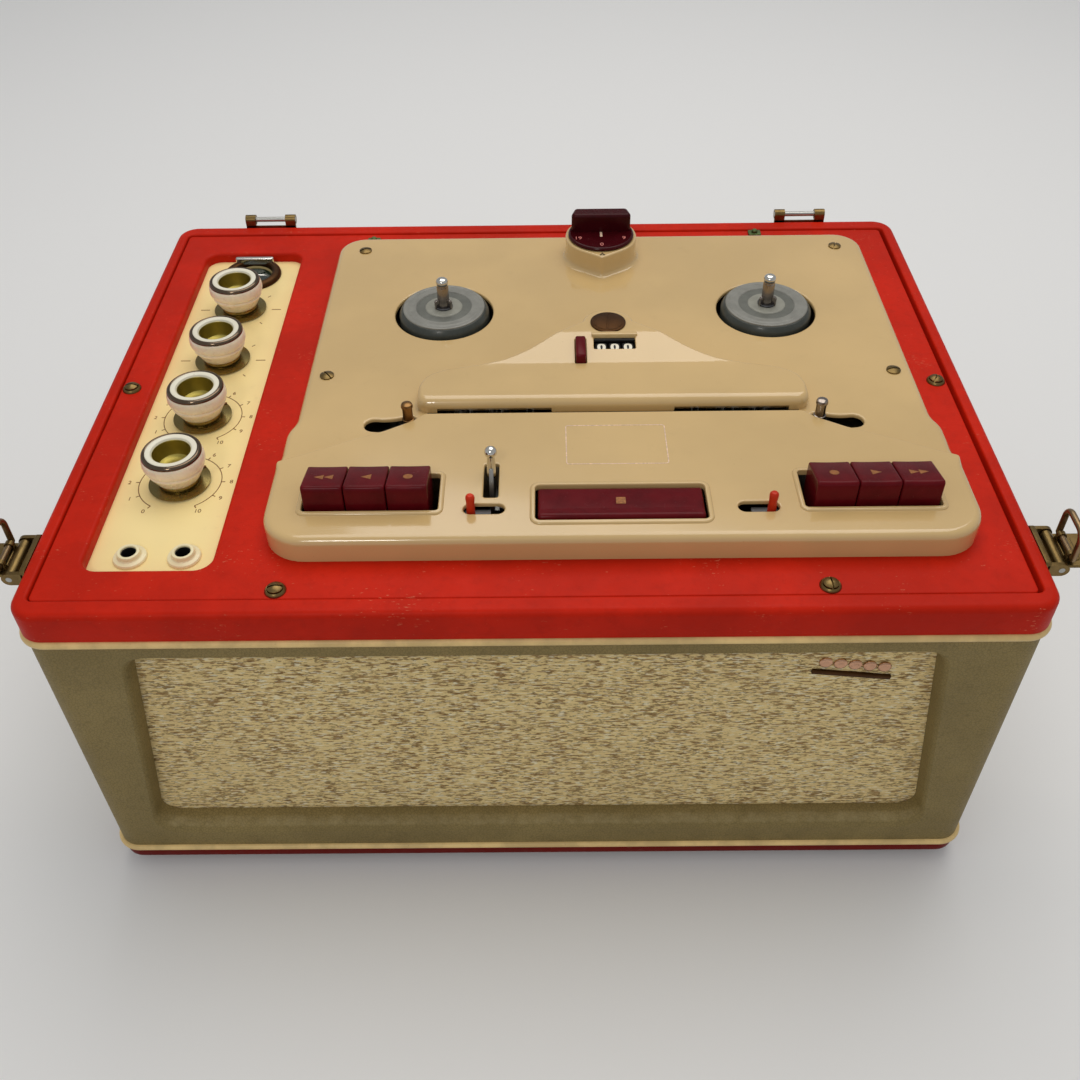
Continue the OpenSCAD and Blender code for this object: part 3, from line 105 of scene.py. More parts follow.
def arc(cx, cy, r, a0, a1, n=8):
    """Points on a circle: the centre plus the radius times cosine and sine of n + 1 even angles."""
    a = np.radians(np.linspace(a0, a1, n + 1))
    return np.stack([cx + r * np.cos(a), cy + r * np.sin(a)], 1)


def ring(cx, cy, r, n=48):
    """A closed circle, without its repeated last point."""
    return arc(cx, cy, r, 0, 360, n)[:-1]


def box_plan(x0, x1, y0, y1, r, n=8):
    """A rectangle whose corners are quarter circles, anticlockwise."""
    return np.concatenate([arc(x1 - r, y0 + r, r, -90, 0, n), arc(x1 - r, y1 - r, r, 0, 90, n),
                           arc(x0 + r, y1 - r, r, 90, 180, n), arc(x0 + r, y0 + r, r, 180, 270, n)])


def slot_plan(cx, cy, length, width):
    """Two half circles joined by straight sides along x."""
    r = width / 2
    return np.concatenate([arc(cx + length / 2 - r, cy, r, -90, 90, 10),
                           arc(cx - length / 2 + r, cy, r, 90, 270, 10)])


def fillet(points, r, n=6):
    """Each corner of a closed outline gives way to an arc that is tangent to its two sides."""
    p = np.asarray(points, float)
    r = np.broadcast_to(np.asarray(r, float), (len(p),))
    a, b = np.roll(p, 1, 0) - p, np.roll(p, -1, 0) - p
    la, lb = np.linalg.norm(a, axis=1), np.linalg.norm(b, axis=1)
    a, b = a / la[:, None], b / lb[:, None]
    half = np.arccos(np.clip((a * b).sum(1), -1, 1)) / 2
    t = np.minimum(r / np.tan(half), 0.49 * np.minimum(la, lb))
    mid = a + b
    size = np.linalg.norm(mid, axis=1)
    t = np.where(size < 1e-3, 0, t)
    rr = t * np.tan(np.minimum(half, 1.57))
    c = p + mid / np.maximum(size, 1e-9)[:, None] * (rr / np.sin(half))[:, None]
    s, e = p + a * t[:, None] - c, p + b * t[:, None] - c
    a0, a1 = np.arctan2(s[:, 1], s[:, 0]), np.arctan2(e[:, 1], e[:, 0])
    sweep = (a1 - a0 + pi) % (2 * pi) - pi
    ang = a0[:, None] + sweep[:, None] * np.linspace(0, 1, n + 1)
    out = c[:, None] + rr[:, None, None] * np.stack([np.cos(ang), np.sin(ang)], -1)
    out = out.reshape(-1, 2)
    return out[np.linalg.norm(out - np.roll(out, 1, 0), axis=1) > 1e-4]


def denser(loop, longest=8.0):
    """Splits each edge of an outline into equal parts, none longer than longest."""
    e = np.roll(loop, -1, 0) - loop
    parts = np.maximum(1, np.ceil(np.linalg.norm(e, axis=1) / longest).astype(int))
    k = np.repeat(np.arange(len(loop)), parts)
    share = np.concatenate([np.arange(m) / m for m in parts])
    return loop[k] + e[k] * share[:, None]


def flip_x(outline):
    """The mirror image across x = 0, still anticlockwise."""
    return (np.asarray(outline, float) * (-1, 1))[::-1]


def both_sides(right):
    """A closed outline from its right half, read from front to back."""
    right = np.asarray(right, float)
    return np.concatenate([right, flip_x(right)])


def inset(loop, g):
    """Moves each point of a closed anticlockwise outline inwards along its two edges' summed
    normals, lengthened so that the edges stay parallel. g is a distance, or one for each point."""
    e = np.roll(loop, -1, 0) - loop
    e = e / np.linalg.norm(e, axis=1)[:, None]
    n = np.stack([-e[:, 1], e[:, 0]], 1)
    m = np.roll(n, 1, 0)
    g = np.broadcast_to(np.asarray(g, float), (len(loop),))[:, None]
    return loop + g * (n + m) / np.maximum(1 + (n * m).sum(1), 0.35)[:, None]


def inside(points, loops):
    """True where a ray from the point crosses the outlines an odd number of times."""
    hit = np.zeros(len(points), bool)
    x, y = points[:, :1], points[:, 1:2]
    for a in loops:
        b = np.roll(a, -1, 0)
        across = (a[:, 1] > y) != (b[:, 1] > y)
        rise = np.where(b[:, 1] == a[:, 1], 1, b[:, 1] - a[:, 1])
        at = (b[:, 0] - a[:, 0]) * (y - a[:, 1]) / rise + a[:, 0]
        hit ^= ((across & (x < at)).sum(1) % 2).astype(bool)
    return hit


# Shapes
# A shape is (points, quads, triangles), with its faces pointing outwards.

NO_TRIANGLES = np.zeros((0, 3), int)


def fill(loops, extra=None):
    """Triangles between the points of the outlines, inside the first and outside the others."""
    pts = np.concatenate(list(loops) + ([extra] if extra is not None and len(extra) else []))
    edges, start = [], 0
    for loop in loops:
        i = np.arange(len(loop))
        edges.append(np.stack([i, (i + 1) % len(loop)], 1) + start)
        start += len(loop)
    out = geometry.delaunay_2d_cdt(pts.tolist(), np.concatenate(edges).tolist(), [], 0, 1e-7)
    source = np.array([o[0] if o else -1 for o in out[3]])
    if (source < 0).any():
        where = [tuple(round(c, 1) for c in out[0][i]) for i in np.flatnonzero(source < 0)[:4]]
        raise RuntimeError("an outline crosses itself or another near %s" % where)
    tri = source[np.array([f for f in out[2] if len(f) == 3])]
    tri = tri[(tri >= 0).all(1)]
    tri = tri[inside(pts[tri].mean(1), loops)]
    a, b, c = (pts[tri[:, k]] for k in range(3))
    area = (b[:, 0] - a[:, 0]) * (c[:, 1] - a[:, 1]) - (b[:, 1] - a[:, 1]) * (c[:, 0] - a[:, 0])
    tri[area < 0] = tri[area < 0][:, ::-1]
    return tri[np.abs(area) > 1e-9]


PLANES = {"top": (0, 1, 2, 1), "side": (1, 2, 0, 1), "front": (0, 2, 1, -1)}


def loft(outer, holes=(), plane="top", extra=None, warp=None):
    """A solid through a stack of outlines. outer is a list of (outline, height) from the bottom
    cap to the top cap, and each hole is such a list too; the caps are filled with triangles.
    plane says which way the outline lies: top (x, y), side (y, z) or front (x, z)."""
    points, quads, tops, lows, start = [], [], [], [], 0
    for k, rows in enumerate([outer] + list(holes)):
        n = len(rows[0][0])
        i = np.arange(n)
        for j, (loop, h) in enumerate(rows):
            points.append(np.column_stack([loop, np.full(n, h)]))
            if j:
                q = np.stack([i + start + (j - 1) * n, (i + 1) % n + start + (j - 1) * n,
                              (i + 1) % n + start + j * n, i + start + j * n], 1)
                quads.append(q if k == 0 else q[:, ::-1])
        lows.append((rows[0][0], i + start))
        tops.append((rows[-1][0], i + start + (len(rows) - 1) * n))
        start += n * len(rows)
    tris = []
    for ends, up in ((lows, False), (tops, True)):
        index = np.concatenate([e[1] for e in ends])
        more = None
        if extra is not None and up:
            more = extra[inside(extra, [e[0] for e in ends])]
            index = np.concatenate([index, np.arange(len(more)) + start])
            points.append(np.column_stack([more, np.full(len(more), outer[-1][1])]))
        tri = index[fill([e[0] for e in ends], more)]
        tris.append(tri if up else tri[:, ::-1])
    p = np.concatenate(points)
    if warp:
        p = warp(p)
    a, b, c, sign = PLANES[plane]
    out = np.zeros_like(p)
    out[:, a], out[:, b], out[:, c] = p[:, 0], p[:, 1], sign * p[:, 2]
    return out, np.concatenate(quads), np.concatenate(tris)


def rows(z0, z1, top=0.0, low=0.0, n=5, flat=0.25):
    """Heights and insets of a plate's edge: quarter circles of radius low and top."""
    out = []
    if low:
        a = np.radians(np.linspace(0, 90, n + 1))
        out = [(low + flat, z0)] + list(zip(low * (1 - np.sin(a)), z0 + low * (1 - np.cos(a))))
    else:
        out = [(0, z0)]
    if top:
        a = np.radians(np.linspace(0, 90, n + 1))
        out += list(zip(top * (1 - np.cos(a)), z1 - top + top * np.sin(a))) + [(top + flat, z1)]
    else:
        out.append((0, z1))
    return out


def shell_rows(z0, z1, skin, r, n=7):
    """Rows of a pressed cover: the hollow's ceiling, its wall down to z0, the outer wall up
    again and a quarter circle of radius r over to the top."""
    a = np.radians(np.linspace(90, 0, n + 1))
    ri = max(r - skin, 0.4)
    inner = list(zip(skin + ri * (1 - np.cos(a)), z1 - skin - ri + ri * np.sin(a)))
    return [(skin + ri + 0.3, z1 - skin)] + inner + [(skin, z0), (0, z0)] + rows(z0, z1, r, n=n)[1:]


def slab(loop, levels, holes=(), hole_levels=None, ease=1.0, **more):
    """A plate: the outline moved inwards by each level's first number at its height, times ease
    at each point, and each hole outwards by that of the hole's levels."""
    loop = np.asarray(loop, float)
    hole_levels = hole_levels or [(0, levels[0][1]), (0, levels[-1][1])]
    return loft([(inset(loop, g * ease), h) for g, h in levels],
                [[(inset(np.asarray(h, float), -g), z) for g, z in hole_levels] for h in holes], **more)


def grid_faces(m, n, round_n=False):
    """The quads of a grid of m rows of n points, row by row; round_n joins each row's ends."""
    i, j = np.meshgrid(np.arange(m - 1), np.arange(n if round_n else n - 1), indexing="ij")
    k = (j + 1) % n
    return np.stack([i * n + j, i * n + k, (i + 1) * n + k, (i + 1) * n + j], -1).reshape(-1, 4)


def turned(profile, n=64):
    """A profile of (radius, height) turned round the z axis: point (radius cos a, radius sin a,
    height). Points on the axis become one pole, and an open bore is closed by its own wall."""
    p = np.asarray(profile, float)
    a = np.linspace(0, 2 * pi, n, endpoint=False)
    m = len(p)
    grid = np.stack([p[:, :1] * np.cos(a), p[:, :1] * np.sin(a), np.repeat(p[:, 1:], n, 1)], -1)
    q = grid_faces(m, n, round_n=True)
    if p[0, 0] > 1e-6:
        k = np.arange(n)
        last = (m - 1) * n
        q = np.concatenate([q, np.stack([last + k, last + (k + 1) % n, (k + 1) % n, k], -1)])
    return outward(merged((grid.reshape(-1, 3), q, NO_TRIANGLES)))


def merged(shape):
    """Joins points closer than a ten-thousandth of a millimetre and drops faces that fold away."""
    v, q, t = shape
    steps = np.round(v * 1e4).astype(np.int64)
    _, first, back = np.unique(steps, axis=0, return_index=True, return_inverse=True)
    back = back.reshape(-1)
    q, t = back[q], back[t]
    same = q == np.roll(q, 1, 1)
    count = same.sum(1)
    three = q[count == 1]
    keep = ~same[count == 1]
    t = np.concatenate([t, three[keep].reshape(-1, 3)])
    t = t[(t[:, 0] != t[:, 1]) & (t[:, 1] != t[:, 2]) & (t[:, 0] != t[:, 2])]
    return v[first], q[count == 0], t


def volume(shape):
    """Signed volume: a sixth of the sum of the triple products of all triangles."""
    v, q, t = shape
    tri = np.concatenate([t, q[:, :3], q[:, [0, 2, 3]]])
    a, b, c = (v[tri[:, k]] for k in range(3))
    return float((a * np.cross(b, c)).sum() / 6)


def outward(shape):
    """Turns all faces round if they point into the solid."""
    if volume(shape) < 0:
        return shape[0], shape[1][:, ::-1], shape[2][:, ::-1]
    return shape


def tube(path, r, n):
    """A circle of radius r carried along a path: path + r (cos a N + sin a B), where N is the
    x direction less its part along the path, and B is square to both. Its ends are round."""
    p = np.asarray(path, float)
    d = np.gradient(p, axis=0)
    d /= np.linalg.norm(d, axis=1)[:, None]
    r = np.broadcast_to(np.asarray(r, float), (len(p),))
    w = np.radians(np.linspace(90, 15, 5))
    head = p[0] - d[0] * (r[0] * np.sin(w))[:, None]
    tail = p[-1] + d[-1] * (r[-1] * np.sin(w[::-1]))[:, None]
    r = np.concatenate([r[0] * np.cos(w), r, r[-1] * np.cos(w[::-1])])
    p = np.concatenate([head, p, tail])
    d = np.concatenate([np.repeat(d[:1], len(w), 0), d, np.repeat(d[-1:], len(w), 0)])
    across = np.array([1.0, 0.0, 0.0])
    nn = across - (d @ across)[:, None] * d
    nn /= np.linalg.norm(nn, axis=1)[:, None]
    bb = np.cross(d, nn)
    a = np.linspace(0, 2 * pi, n, endpoint=False)[None, :, None]
    v = p[:, None] + r[:, None, None] * (np.cos(a) * nn[:, None] + np.sin(a) * bb[:, None])
    return outward(merged((v.reshape(-1, 3), grid_faces(len(p), n, round_n=True), NO_TRIANGLES)))


def ball(r):
    """A sphere: a half circle turned round its axis."""
    a = np.radians(np.linspace(-90, 90, 17))
    return turned(np.stack([np.maximum(r * np.cos(a), 0), r * np.sin(a)], 1), 32)


def slotted(r, height, width, depth, dome=1.0, low=0.0, slot_angle=0.0):
    """A screw head over a disc: rows across the slot at chosen y, x = u times the half chord;
    its top is low + height + dome (1 - d squared), less depth between the slot's two walls."""
    half, e = width / 2, 1e-3
    up = np.concatenate([[half], half + (r - half) * np.sin(np.radians(np.linspace(8, 90, 12)))])
    ys = np.concatenate([-up[::-1], [-half + e, 0, half - e], up])
    u = np.sin(np.radians(np.linspace(-90, 90, 25)))
    yy, uu = np.meshgrid(ys, u, indexing="ij")
    xx = uu * np.sqrt(np.maximum(r * r - yy * yy, 0))
    d2 = (xx * xx + yy * yy) / r / r
    top = low + height + dome * (1 - d2) - depth * (np.abs(yy) < half - e / 2)
    m, k = yy.shape
    v = np.concatenate([np.stack([xx, yy, top], -1).reshape(-1, 3),
                        np.stack([xx, yy, np.full_like(xx, low)], -1).reshape(-1, 3)])
    q = grid_faces(m, k)[:, [1, 2, 3, 0]]
    edge = np.concatenate([np.arange(k), np.arange(1, m) * k + k - 1,
                           (m - 1) * k + np.arange(k - 1)[::-1], np.arange(m - 1)[::-1] * k])
    nxt = np.roll(edge, -1)
    side = np.stack([edge, nxt, nxt + m * k, edge + m * k], 1)[:, ::-1]
    s = merged((v, np.concatenate([q, q[:, ::-1] + m * k, side]), NO_TRIANGLES))
    return turn(outward(s), "z", slot_angle)


def move(shape, x=0, y=0, z=0):
    """Every point plus one vector."""
    return shape[0] + np.array([x, y, z], float), shape[1], shape[2]


def turn(shape, axis, degrees):
    """Every point turned about an axis through the origin."""
    c, s = cos(radians(degrees)), sin(radians(degrees))
    m = {"x": [[1, 0, 0], [0, c, -s], [0, s, c]], "y": [[c, 0, s], [0, 1, 0], [-s, 0, c]],
         "z": [[c, -s, 0], [s, c, 0], [0, 0, 1]]}[axis]
    return shape[0] @ np.array(m).T, shape[1], shape[2]


def mirror(shape):
    """The mirror image across x = 0, its faces turned back outwards."""
    return shape[0] * (-1, 1, 1), shape[1][:, ::-1], shape[2][:, ::-1]


def on_deck(shape, x=0, y=0, z=0):
    """A shape in the deck's own places, carried to where the deck is."""
    return move(shape, DECK[0] + x, DECK[1] + y, DECK[2] + z)


def printed(text, size, thick=0.12, bend=None, bold=0.0):
    """Figures from Blender's own font as a shape, centred on the origin, lying in x and y."""
    curve = bpy.data.curves.new("figure", "FONT")
    curve.body, curve.size, curve.extrude = text, size, thick / 2
    curve.align_x, curve.align_y, curve.offset = "CENTER", "CENTER", bold
    o = bpy.data.objects.new("figure", curve)
    bpy.context.scene.collection.objects.link(o)
    bpy.context.view_layer.update()
    me = o.evaluated_get(bpy.context.evaluated_depsgraph_get()).to_mesh()
    me.calc_loop_triangles()
    v = np.zeros(len(me.vertices) * 3, np.float32)
    me.vertices.foreach_get("co", v)
    t = np.zeros(len(me.loop_triangles) * 3, np.int32)
    me.loop_triangles.foreach_get("vertices", t)
    bpy.data.objects.remove(o)
    bpy.data.curves.remove(curve)
    v = v.reshape(-1, 3).astype(float)
    v[:, :2] -= (v[:, :2].max(0) + v[:, :2].min(0)) / 2
    s = merged((v, np.zeros((0, 4), int), t.reshape(-1, 3).astype(int)))
    return (bend(s[0]), s[1], s[2]) if bend else s


class Piece:
    """Collects shapes with their materials, then makes one mesh object of them."""

    def __init__(self, name, body, slot, *replaced):
        self.name, self.body, self.slot, self.replaced = name, body, slot, replaced
        self.parts = []

    def add(self, shape, look, wear=None):
        """Adds a shape; wear gives each of its points a share of wear from 0 to 1."""
        self.parts.append((shape, look, wear))
        return self

    def make(self, smooth=32):
        """Makes the object. Edges that turn by more than smooth degrees stay sharp."""
        looks = []
        v, f, m, w, n = [], [], [], [], 0
        for (p, q, t), look, wear in self.parts:
            if look not in looks:
                looks.append(look)
            v.append(p)
            f += (q + n).tolist() + (t + n).tolist()
            m.append(np.full(len(q) + len(t), looks.index(look)))
            w.append(np.zeros(len(p)) if wear is None else wear(p))
            n += len(p)
        me = bpy.data.meshes.new(self.name)
        me.from_pydata((np.concatenate(v) * MM).tolist(), [], f)
        me.polygons.foreach_set("material_index", np.concatenate(m).astype(np.int32))
        worn = me.attributes.new("wear", "FLOAT", "POINT")
        worn.data.foreach_set("value", np.concatenate(w).astype(np.float32))
        for look in looks:
            me.materials.append(finish(look))
        me.shade_smooth()
        me.set_sharp_from_angle(angle=radians(smooth))
        if me.validate(verbose=False):
            raise RuntimeError(self.name + " has a broken mesh")
        o = bpy.data.objects.new(self.name, me)
        bpy.context.scene.collection.objects.link(o)
        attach(o, self.body)
        if self.replaced:
            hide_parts(*self.replaced)
        return o


def conf():
    """The user's settings."""
    return bpy.context.scene.tape_recorder


# Materials

class Sock:
    """A socket whose arithmetic adds Math nodes."""

    def __init__(self, look, socket):
        self.look, self.socket = look, socket

    def _do(self, operation, a, b=None):
        """Adds a Math node for the operation on a, or on a and b."""
        ins = {0: a} if b is None else {0: a, 1: b}
        return self.look.node("ShaderNodeMath", {"operation": operation}, ins)

    def __add__(self, o):
        return self._do("ADD", self, o)

    def __radd__(self, o):
        return self._do("ADD", o, self)

    def __sub__(self, o):
        return self._do("SUBTRACT", self, o)

    def __rsub__(self, o):
        return self._do("SUBTRACT", o, self)

    def __mul__(self, o):
        return self._do("MULTIPLY", self, o)

    def __rmul__(self, o):
        return self._do("MULTIPLY", o, self)

    def sine(self):
        return self._do("SINE", self)

    def at_most(self, o):
        return self._do("MINIMUM", self, o)

    def between(self, a, b, lo=0.0, hi=1.0):
        """Smooth step from lo at a to hi at b."""
        return self.look.node("ShaderNodeMapRange", {"interpolation_type": "SMOOTHSTEP"},
                              {"Value": self, "From Min": a, "From Max": b, "To Min": lo, "To Max": hi})


OBJECT_COORDINATES = 3
SHADER_INPUTS = {"color": "Base Color", "rough": "Roughness", "metal": "Metallic", "coat": "Coat Weight",
                 "coat_rough": "Coat Roughness", "normal": "Normal", "specular": "Specular IOR Level",
                 "sheen": "Sheen Weight", "sheen_rough": "Sheen Roughness",
                 "deep": "Subsurface Weight", "deep_scale": "Subsurface Scale"}


class Look:
    """One node material."""

    def __init__(self, name):
        self.mat = bpy.data.materials.new(name)
        self.mat.use_nodes = True
        self.tree = self.mat.node_tree
        self.shader = self.tree.nodes["Principled BSDF"]
        self.seed = 0.0

    def node(self, kind, settings=None, ins=None, out=0):
        """Adds a node: its settings first, then the values or links of its sockets."""
        n = self.tree.nodes.new(kind)
        for key, value in (settings or {}).items():
            setattr(n, key, value)
        for key, value in (ins or {}).items():
            self.plug(n.inputs[key], value)
        return Sock(self, n.outputs[out])

    def plug(self, socket, value):
        """Links a socket to a socket, or sets its value."""
        if isinstance(value, Sock):
            self.tree.links.new(value.socket, socket)
        elif isinstance(value, tuple) and len(value) == 3 and socket.type == "RGBA":
            socket.default_value = (*value, 1)
        else:
            socket.default_value = value

    def place(self, scale=(1, 1, 1)):
        """Object coordinates in millimetres times a scale, moved on at each call."""
        c = self.node("ShaderNodeTexCoord", out=OBJECT_COORDINATES)
        self.seed += 7.3
        return self.node("ShaderNodeMapping", None, {
            "Vector": c, "Location": (self.seed, self.seed * 0.7, self.seed * 1.3),
            "Scale": tuple(1.0 / MM * s for s in scale)})

    def xyz(self, k):
        """One object coordinate in millimetres."""
        c = self.node("ShaderNodeTexCoord", out=OBJECT_COORDINATES)
        return self.node("ShaderNodeSeparateXYZ", None, {0: c}, out=k) * (1.0 / MM)

    def noise(self, size, detail=3.0, rough=0.5, scale=(1, 1, 1), warp=0.0):
        """Noise whose blobs are about size millimetres across."""
        return self.node("ShaderNodeTexNoise", None, {
            "Vector": self.place(scale), "Scale": 1.0 / size, "Detail": detail, "Roughness": rough,
            "Distortion": warp})

    def cells(self, size, feature="F1", rand=1.0):
        """Distance to the nearest of scattered points about size millimetres apart."""
        return self.node("ShaderNodeTexVoronoi", {"feature": feature}, {
            "Vector": self.place(), "Scale": 1.0 / size, "Randomness": rand})

    def mix(self, f, a, b):
        """Colour a where f is 0 and b where it is 1."""
        return self.node("ShaderNodeMix", {"data_type": "RGBA"}, {0: f, 6: a, 7: b}, out=2)

    def worn(self):
        """The share of wear that a piece was given at each point."""
        return self.node("ShaderNodeAttribute", {"attribute_name": "wear"}, out=2)

    def bump(self, height, strength, distance):
        """A normal that leans with the height; distance is the relief in metres."""
        return self.node("ShaderNodeBump", None, {
            "Height": height, "Strength": strength, "Distance": distance})

    def set(self, **values):
        """Sets or links the shader's own sockets."""
        for key, value in values.items():
            self.plug(self.shader.inputs[SHADER_INPUTS[key]], value)


def shade(c, k):
    """A colour times a number, kept within one."""
    return tuple(min(1.0, x * k) for x in c)


def red_rexine(k, depth=1.0):
    """Red bookcloth: fine pebble grain, uneven dye, pale scuffs where an edge is worn."""
    c = shade(tuple(conf().red), depth)
    grain = k.cells(0.75, rand=0.9)
    big = k.noise(60, 4, 0.6)
    fine = k.noise(5, 4, 0.65)
    base = k.mix(big.between(0.35, 0.68), shade(c, 0.86), shade(c, 1.08))
    base = k.mix(fine.between(0.45, 0.75) * 0.35, base, shade(c, 0.72))
    wear = k.worn()
    scuff = (wear * 1.15 + k.noise(1.6, 5, 0.75) * 0.9 + k.noise(14, 3) * 0.7).between(1.44, 1.62)
    rub = (wear * 0.9 + k.noise(6, 5, 0.7) * 0.8 + k.noise(30, 2) * 0.5).between(1.25, 1.75)
    base = k.mix(rub * 0.45, base, shade(tone(152, 44, 26), depth))
    base = k.mix(scuff, base, tone(214, 186, 160))
    nick = k.noise(0.9, 3, 0.6, (0.3, 1, 1)) * 1.1 + k.noise(26, 3) * 0.45 + wear * 0.12
    nick = nick.between(0.995, 1.03)
    base = k.mix(nick * 0.4, base, shade(tone(226, 140, 106), depth))
    spots = (k.noise(2.1, 3, 0.6) + k.noise(23, 2) * 0.3).between(0.9, 0.95)
    base = k.mix(spots * 0.5, base, tone(110, 24, 18))
    k.set(color=base, rough=(k.noise(9, 4, 0.6) * 0.22 + 0.32) + scuff * 0.3, specular=0.09,
          normal=k.bump(grain * 0.7 + k.noise(0.4, 2) * 0.4 - scuff * 0.4, 0.22, 0.00025))


def leathercloth(k):
    """Grey-green leathercloth: small uneven pebbles with darker creases and dirt towards the foot."""
    c = tuple(conf().grey)
    grain = k.cells(1.15)
    crease = k.cells(1.6, feature="DISTANCE_TO_EDGE")
    base = k.mix(k.noise(45, 4, 0.6).between(0.35, 0.7), shade(c, 0.88), shade(c, 1.1))
    base = k.mix(crease.between(0.0, 0.16, 0.55, 0.0), base, shade(c, 0.55))
    base = k.mix(k.noise(3.5, 5, 0.7).between(0.55, 0.8) * 0.4, base, shade(c, 1.35))
    foot = k.xyz(2).between(18, 34, 1.0, 0.0) * k.noise(18, 4, 0.65).between(0.4, 0.75)
    base = k.mix(foot * 0.3, base, tone(84, 70, 46))
    wear = k.worn()
    rub = (wear + k.noise(7, 4, 0.7) * 0.6).between(0.75, 1.3)
    base = k.mix(rub * 0.75, base, tone(190, 172, 128))
    k.set(color=base, rough=k.noise(12, 3) * 0.15 + 0.47, specular=0.2,
          normal=k.bump(grain * 0.6 + crease.between(0, 0.2) * 0.8, 0.4, 0.0003))


def piping_look(k):
    """Tan vinyl piping: fine cross ribs, slow fading and grime in patches."""
    c = tone(240, 206, 140)
    base = k.mix(k.noise(20, 4, 0.6).between(0.35, 0.7), shade(c, 0.8), shade(c, 1.12))
    base = k.mix(k.noise(2.4, 5, 0.7).between(0.6, 0.78) * 0.3, base, tone(140, 104, 58))
    rib = (k.xyz(0) * 5.2 + k.xyz(1) * 5.2).sine()
    k.set(color=base, rough=0.36, specular=0.35,
          normal=k.bump(rib * 0.25 + k.noise(0.7, 3), 0.3, 0.0002))


def grille_weave(k):
    """Woven grille cloth: thick slubby weft across, thin warp, short brown and pale dashes, stains."""
    x, z = k.xyz(0), k.xyz(2)
    wob = k.noise(9, 2, 0.5, (1, 1, 1)) - 0.5
    weft = ((z + wob * 0.7) * (2 * pi / 1.15)).sine()
    warp = (x * (2 * pi / 0.8)).sine()
    slub = k.noise(1.0, 3, 0.6, (0.09, 1, 0.95))
    drift = k.noise(16, 2) * 0.16
    dash = k.noise(1.15, 2, 0.55, (0.2, 1, 0.95)) + drift
    thin = k.noise(0.9, 2, 0.5, (0.3, 1, 1.0)) + drift
    c = tone(252, 222, 158)
    base = k.mix(slub.between(0.3, 0.7), shade(c, 0.84), shade(c, 1.08))
    base = k.mix((weft * warp).between(-0.9, 0.9, 0.0, 0.3), base, shade(c, 0.66))
    base = k.mix(dash.between(0.62, 0.67) * 0.75, base, tone(138, 96, 48))
    base = k.mix(thin.between(0.64, 0.68) * 0.7, base, tone(112, 84, 46))
    base = k.mix(k.noise(1.0, 2, 0.5, (0.22, 1, 1)).between(0.56, 0.64) * 0.75, base, tone(255, 246, 214))
    stain = k.noise(42, 3, 0.6).between(0.66, 0.74) * k.noise(5, 3).between(0.4, 0.6)
    base = k.mix(stain * 0.55, base, tone(150, 92, 46))
    base = k.mix(k.noise(70, 3, 0.6).between(0.35, 0.7) * 0.15, base, shade(c, 0.72))
    # Painted shade under the upper ledge: the cloth darkens towards its top edge, broken up by noise
    base = k.mix(z.between(159, 167) * (k.noise(12, 3, 0.6) * 0.3 + 0.5), base, tone(70, 50, 32))
    k.set(color=base, rough=0.86, specular=0.1, sheen=0.06, sheen_rough=0.4,
          normal=k.bump(weft * 0.7 + warp * 0.3 + slub * 1.2, 0.5, 0.0003))


def enamel(k, c, rough, dirt, peel=0.04, coat=0.5):
    """Stoved enamel: faint orange peel, slow yellowing, patches of grime and small specks."""
    base = k.mix(k.noise(85, 3, 0.55).between(0.3, 0.72), shade(c, 0.93), shade(c, 1.05))
    base = k.mix(k.noise(11, 5, 0.7).between(0.55, 0.82) * dirt, base, shade(c, 0.78))
    speck = k.cells(9).between(0.02, 0.05, 1.0, 0.0)
    base = k.mix(speck * 0.35 * dirt * 2, base, tone(120, 84, 50))
    k.set(color=base, rough=k.noise(16, 4, 0.6) * 0.06 + rough, specular=0.35, coat=coat, coat_rough=0.08,
          normal=k.bump(k.noise(2.2, 2, 0.5), peel, 0.0003))


def ivory(k):
    """Moulded ivory plastic with faint swirls and a soft depth."""
    c = tone(248, 235, 208)
    base = k.mix(k.noise(14, 4, 0.6, warp=1.2).between(0.3, 0.7), shade(c, 0.92), shade(c, 1.04))
    base = k.mix(k.noise(3, 5, 0.7).between(0.56, 0.75) * 0.3, base, tone(190, 150, 96))
    k.set(color=base, rough=k.noise(8, 3) * 0.12 + 0.22, specular=0.5, coat=0.3, coat_rough=0.1,
          deep=0.08, deep_scale=0.002, normal=k.bump(k.noise(2.5, 2), 0.05, 0.0003))


def metal(k, c, rough, dirt_tone, dirt=0.4, grain=(1, 1, 1), size=1.0, tarnish=0.5):
    """Worn metal: tarnish in soft patches, dirt in small spots, fine lines in its polish."""
    patch = k.noise(9, 4, 0.65).between(0.3, 0.72)
    base = k.mix(patch, shade(c, 1 - 0.25 * tarnish), shade(c, 1 + 0.1 * tarnish))
    grime = (k.noise(2.2, 5, 0.75) + k.noise(12, 2) * 0.4).between(0.78, 1.0)
    base = k.mix(grime * dirt, base, dirt_tone)
    lines = k.noise(size, 3, 0.6, grain)
    k.set(color=base, metal=1.0 - grime * (0.6 * dirt),
          rough=lines * 0.1 + (grime * (0.35 * dirt) + rough), specular=0.5,
          normal=k.bump(lines, 0.06, 0.0002))


def plastic(k, c, rough=0.16, dust=0.1, coat=0.0):
    """Glossy moulded plastic, a little uneven, with specks of dust."""
    base = k.mix(k.noise(10, 3, 0.6).between(0.3, 0.7), shade(c, 0.85), shade(c, 1.15))
    mote = (k.noise(1.1, 4, 0.7) + k.noise(8, 2) * 0.3).between(0.78, 0.95)
    base = k.mix(mote * dust, base, tone(150, 110, 95))
    k.set(color=base, rough=k.noise(6, 4, 0.6) * 0.14 + rough + mote * 0.2, specular=0.12,
          coat=coat, coat_rough=0.05, normal=k.bump(k.noise(1.8, 2), 0.035, 0.0003))


